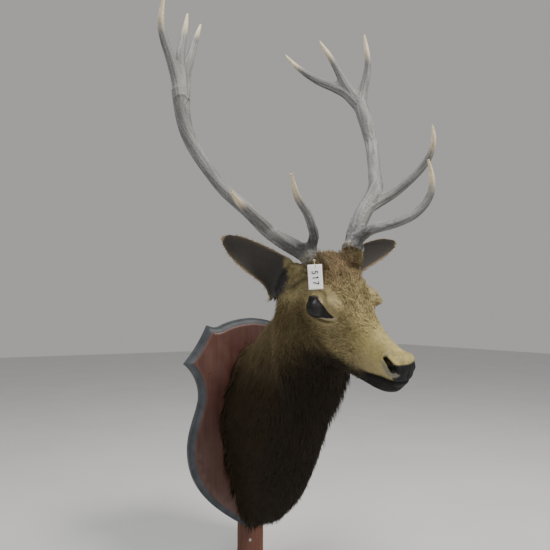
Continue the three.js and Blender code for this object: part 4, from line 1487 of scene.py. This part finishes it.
def painted_material(name, fine, stops, finish, relief=None):
    """The painted colour broken up by fine noise, and relief from another noise where it is given."""
    m = Nodes(name)
    tint = m.ramp(m.noise(*fine), *stops)
    m.set(Base_Color=m.blend("MULTIPLY", 1.0, m.painted(), tint), **finish)
    if relief:
        m.bump(m.noise(*relief[0]), *relief[1])
    return m.material


PAINTED = {  # the noise, its tints, the finish, and the relief's noise with its height and strength
    "hair": ((420, 3), ((0.3, 0.72), (0.7, 1.22)), dict(Roughness=0.72, Specular_IOR_Level=0.18)),
    "skin": ((700, 4), ((0.3, 0.75), (0.7, 1.2)), dict(Roughness=0.6, Specular_IOR_Level=0.22),
             ((900, 3), (0.0006, 0.8))),
    "antler": ((260, 6, 0.65), ((0.32, 0.72), (0.6, 1.12)), dict(Roughness=0.62),
               ((380, 5, 0.6), (0.0006, 0.6))),
}


def eye_material():
    m = Nodes("eye_glass")
    dull = m.ramp(m.noise(120, 4), (0.3, 0.28), (0.8, 0.45))
    m.set(Base_Color=m.painted(), Roughness=dull, Specular_IOR_Level=0.3)
    return m.material


def wood_colour(m, dark, light, grain_scale=1.0):
    """Straight grain up and down the board, with a slow change of tone."""
    grain = m.noise(9, 6, 0.6, (9 * grain_scale, 9 * grain_scale, 0.7 * grain_scale))
    fine = m.noise(9, 4, 0.6, (60, 60, 2.2))
    both = m.maths("ADD", m.maths("MULTIPLY", grain, 0.65), m.maths("MULTIPLY", fine, 0.35))
    return m.ramp(both, (0.30, dark), (0.72, light)), both


def board_face_material():
    m = Nodes("board_face")
    colour, grain = wood_colour(m, (0.050, 0.018, 0.014), (0.120, 0.046, 0.034))
    dust = m.ramp(m.noise(7, 5, 0.6), (0.45, 0.0), (0.75, 0.30))
    colour = m.blend("MIX", dust, colour, (0.20, 0.13, 0.11, 1))
    rough = m.ramp(m.noise(30, 4), (0.3, 0.36), (0.7, 0.55))
    m.set(Base_Color=colour, Roughness=rough)
    m.bump(grain, 0.0006, 0.5)
    return m.material


def board_rim_material():
    m = Nodes("board_rim")
    patch = m.noise(22, 5, 0.6)
    paint_colour = m.ramp(patch, (0.3, (0.020, 0.024, 0.030)), (0.75, (0.070, 0.080, 0.090)))
    wear = m.maths("MULTIPLY", m.painted("edge_wear"), m.noise(60, 5, 0.7))
    bare = m.ramp(wear, (0.40, 0.0), (0.52, 1.0))
    chips = m.ramp(m.noise(85, 5, 0.7), (0.66, 0.0), (0.70, 0.8))
    colour = m.blend("MIX", bare, paint_colour, (0.20, 0.17, 0.14, 1))
    colour = m.blend("MIX", chips, colour, (0.10, 0.055, 0.040, 1))
    m.set(Base_Color=colour, Roughness=0.55)
    m.bump(m.noise(160, stretch=(1, 1, 0.2)), 0.0005, 0.5)
    return m.material


def bare_wood_material(name, dark, light, roughness, strength, grain_scale=1.0):
    m = Nodes(name)
    colour, grain = wood_colour(m, dark, light, grain_scale)
    m.set(Base_Color=colour, Roughness=roughness)
    m.bump(grain, 0.0008, strength)
    return m.material


def metal_material(name, colour, roughness):
    m = Nodes(name)
    rough = m.ramp(m.noise(900, 3), (0.3, roughness - 0.08), (0.7, roughness + 0.12))
    tint = m.ramp(m.noise(500, 4), (0.3, tuple(0.75 * c for c in colour)), (0.7, colour))
    m.set(Base_Color=tint, Roughness=rough, Metallic=1.0)
    return m.material


def card_material():
    m = Nodes("card")
    fibre = m.noise(650, 4)
    m.set(Base_Color=m.ramp(fibre, (0.3, (0.88, 0.87, 0.85)), (0.7, (0.96, 0.955, 0.94))), Roughness=0.85)
    m.bump(fibre, 0.0002, 0.4)
    return m.material


def ink_material():
    m = Nodes("ink")
    tone = m.ramp(m.noise(900, 3), (0.3, (0.008, 0.009, 0.015)), (0.8, (0.03, 0.032, 0.045)))
    m.set(Base_Color=tone, Roughness=0.6)
    return m.material


def string_material():
    m = Nodes("string")
    twist = m.noise(2200, 2, stretch=(1, 1, 0.3))
    m.set(Base_Color=m.ramp(twist, (0.3, (0.34, 0.30, 0.22)), (0.7, (0.62, 0.56, 0.44))), Roughness=0.9)
    m.bump(twist, 0.0004, 0.8)
    return m.material


def floor_material():
    m = Nodes("floor")
    patch = m.noise(2.5, 4)
    m.set(Base_Color=m.ramp(patch, (0.3, 0.66), (0.7, 0.70)), Roughness=0.9)
    return m.material


# ---------------------------------------------------------------- stage
CAMERA = {"at": (-0.747, -1.4893, 0.314), "azimuth": -29.65, "rise": 4.39, "focal_px": 535.8}
PHOTO_PX = 550
SENSOR_MM = 36
FLOOR_Z = -0.406
FLOOR_HALF = 9000
STAGE_MIDDLE = (0, -0.4, 0.4)  # where the lights are aimed
LIGHTS = {  # place, size, power and colour
    "key": ((0.9, -2.1, 2.5), 0.9, 95, (1.0, 0.97, 0.90)),
    "fill": ((-2.4, -1.8, 0.9), 1.8, 10, (0.92, 0.96, 1.0)),
    "top": ((-1.2, -0.3, 2.7), 1.0, 42, (1, 1, 1)),
}
WORLD_COLOUR, WORLD_STRENGTH = (1.0, 0.985, 0.96, 1), 0.4


def make_camera():
    data = bpy.data.cameras.new("camera")
    data.sensor_width = SENSOR_MM
    data.lens = CAMERA["focal_px"] * SENSOR_MM / PHOTO_PX
    data.clip_start = 0.01
    camera = add_object("camera", data)
    camera.location = CAMERA["at"]
    camera.rotation_euler = (math.radians(90 + CAMERA["rise"]), 0, math.radians(CAMERA["azimuth"]))
    bpy.context.scene.camera = camera


def add_light(name, at, size, power, colour):
    data = bpy.data.lights.new(name, "AREA")
    data.size, data.energy, data.color = size, power, colour
    light = add_object(name, data)
    light.location = at
    away = np.array(at) - np.array(STAGE_MIDDLE)
    light.rotation_euler = Vector(away).to_track_quat("Z", "Y").to_euler()


def make_stage():
    corners = np.array([(-1, -1, 0), (1, -1, 0), (1, 1, 0), (-1, 1, 0)]) * FLOOR_HALF + (0, 0, FLOOR_Z / MM)
    floor = make_mesh("floor", corners, [(0, 1, 2, 3)])
    floor.data.materials.append(floor_material())
    world = bpy.data.worlds.new("studio")
    world.use_nodes = True
    background = world.node_tree.nodes["Background"]
    background.inputs[0].default_value = WORLD_COLOUR
    background.inputs[1].default_value = WORLD_STRENGTH
    bpy.context.scene.world = world
    for name, light in LIGHTS.items():
        add_light(name, *light)


# ---------------------------------------------------------------- putting it together
SKIN_VOXEL = 3.1
SKIN_SHADE = 0.8  # the skin is darker than the tufts on it
EAR_COAT_DEPTH = 0.8
SKIN_TRIANGLES = 188000
MANE_START = 430  # along the body, where the mane hides the skin
FLESH = ("head", "muzzle", "lower_jaw", "neck", "brisket", "ear_left", "ear_right")
ANTLER_NODES = ("burr", "beam_lower", "beam_upper", "brow_tine", "trez_tine",
                "crown_top", "crown_middle", "crown_rear")


def settle(piece, slot, materials, *nodes):
    """Gives a piece its materials and its body, and hides the nodes that it stands for; the slot is not used.
    """
    for material in materials:
        piece.data.materials.append(material)
    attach(piece, "root")
    if nodes:
        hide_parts(*nodes)


def build():
    make_camera()
    make_stage()
    skin = make_skin()
    settle(skin, "tan_coat", [painted_material("skin", *PAINTED["skin"])], *FLESH)
    hair = painted_material("hair", *PAINTED["hair"])
    for kind, growth in COAT.items():
        for piece in grow(skin, kind, **growth):
            settle(piece, COAT_SLOTS.get(kind, "tan_coat"), [hair])
    thin_out(skin, under_mane, SKIN_TRIANGLES)
    bone = painted_material("antler", *PAINTED["antler"])
    glass = eye_material()
    for side in HAND:
        settle(make_antler(side), "antler", [bone], *[f"{name}_{side}" for name in ANTLER_NODES])
        settle(make_eye(side), "eye_glass", [glass], "eye_" + side)
    back = bare_wood_material("board_back", (0.075, 0.045, 0.028), (0.17, 0.11, 0.07), 0.8, 0.7)
    settle(make_shield(), "red_wood", [board_face_material(), board_rim_material(), back], "shield")
    settle(make_nail(), "screw_steel", [metal_material("nail_steel", (0.10, 0.08, 0.07), 0.5)])
    wood = bare_wood_material("strip_wood", (0.070, 0.024, 0.015), (0.17, 0.065, 0.040), 0.68, 0.6, 1.4)
    settle(make_strip(), "strip_wood", [wood], "wall_strip")
    steel = metal_material("screw_steel", (0.55, 0.56, 0.57), 0.3)
    settle(make_screw(), "screw_steel", [steel], "strip_screw")
    settle(make_tag(), "tag_paper", [card_material()], "tag")
    settle(make_digits(), "tag_paper", [ink_material()])
    settle(make_tie(), "tie_string", [string_material()], "tag_tie")


build()
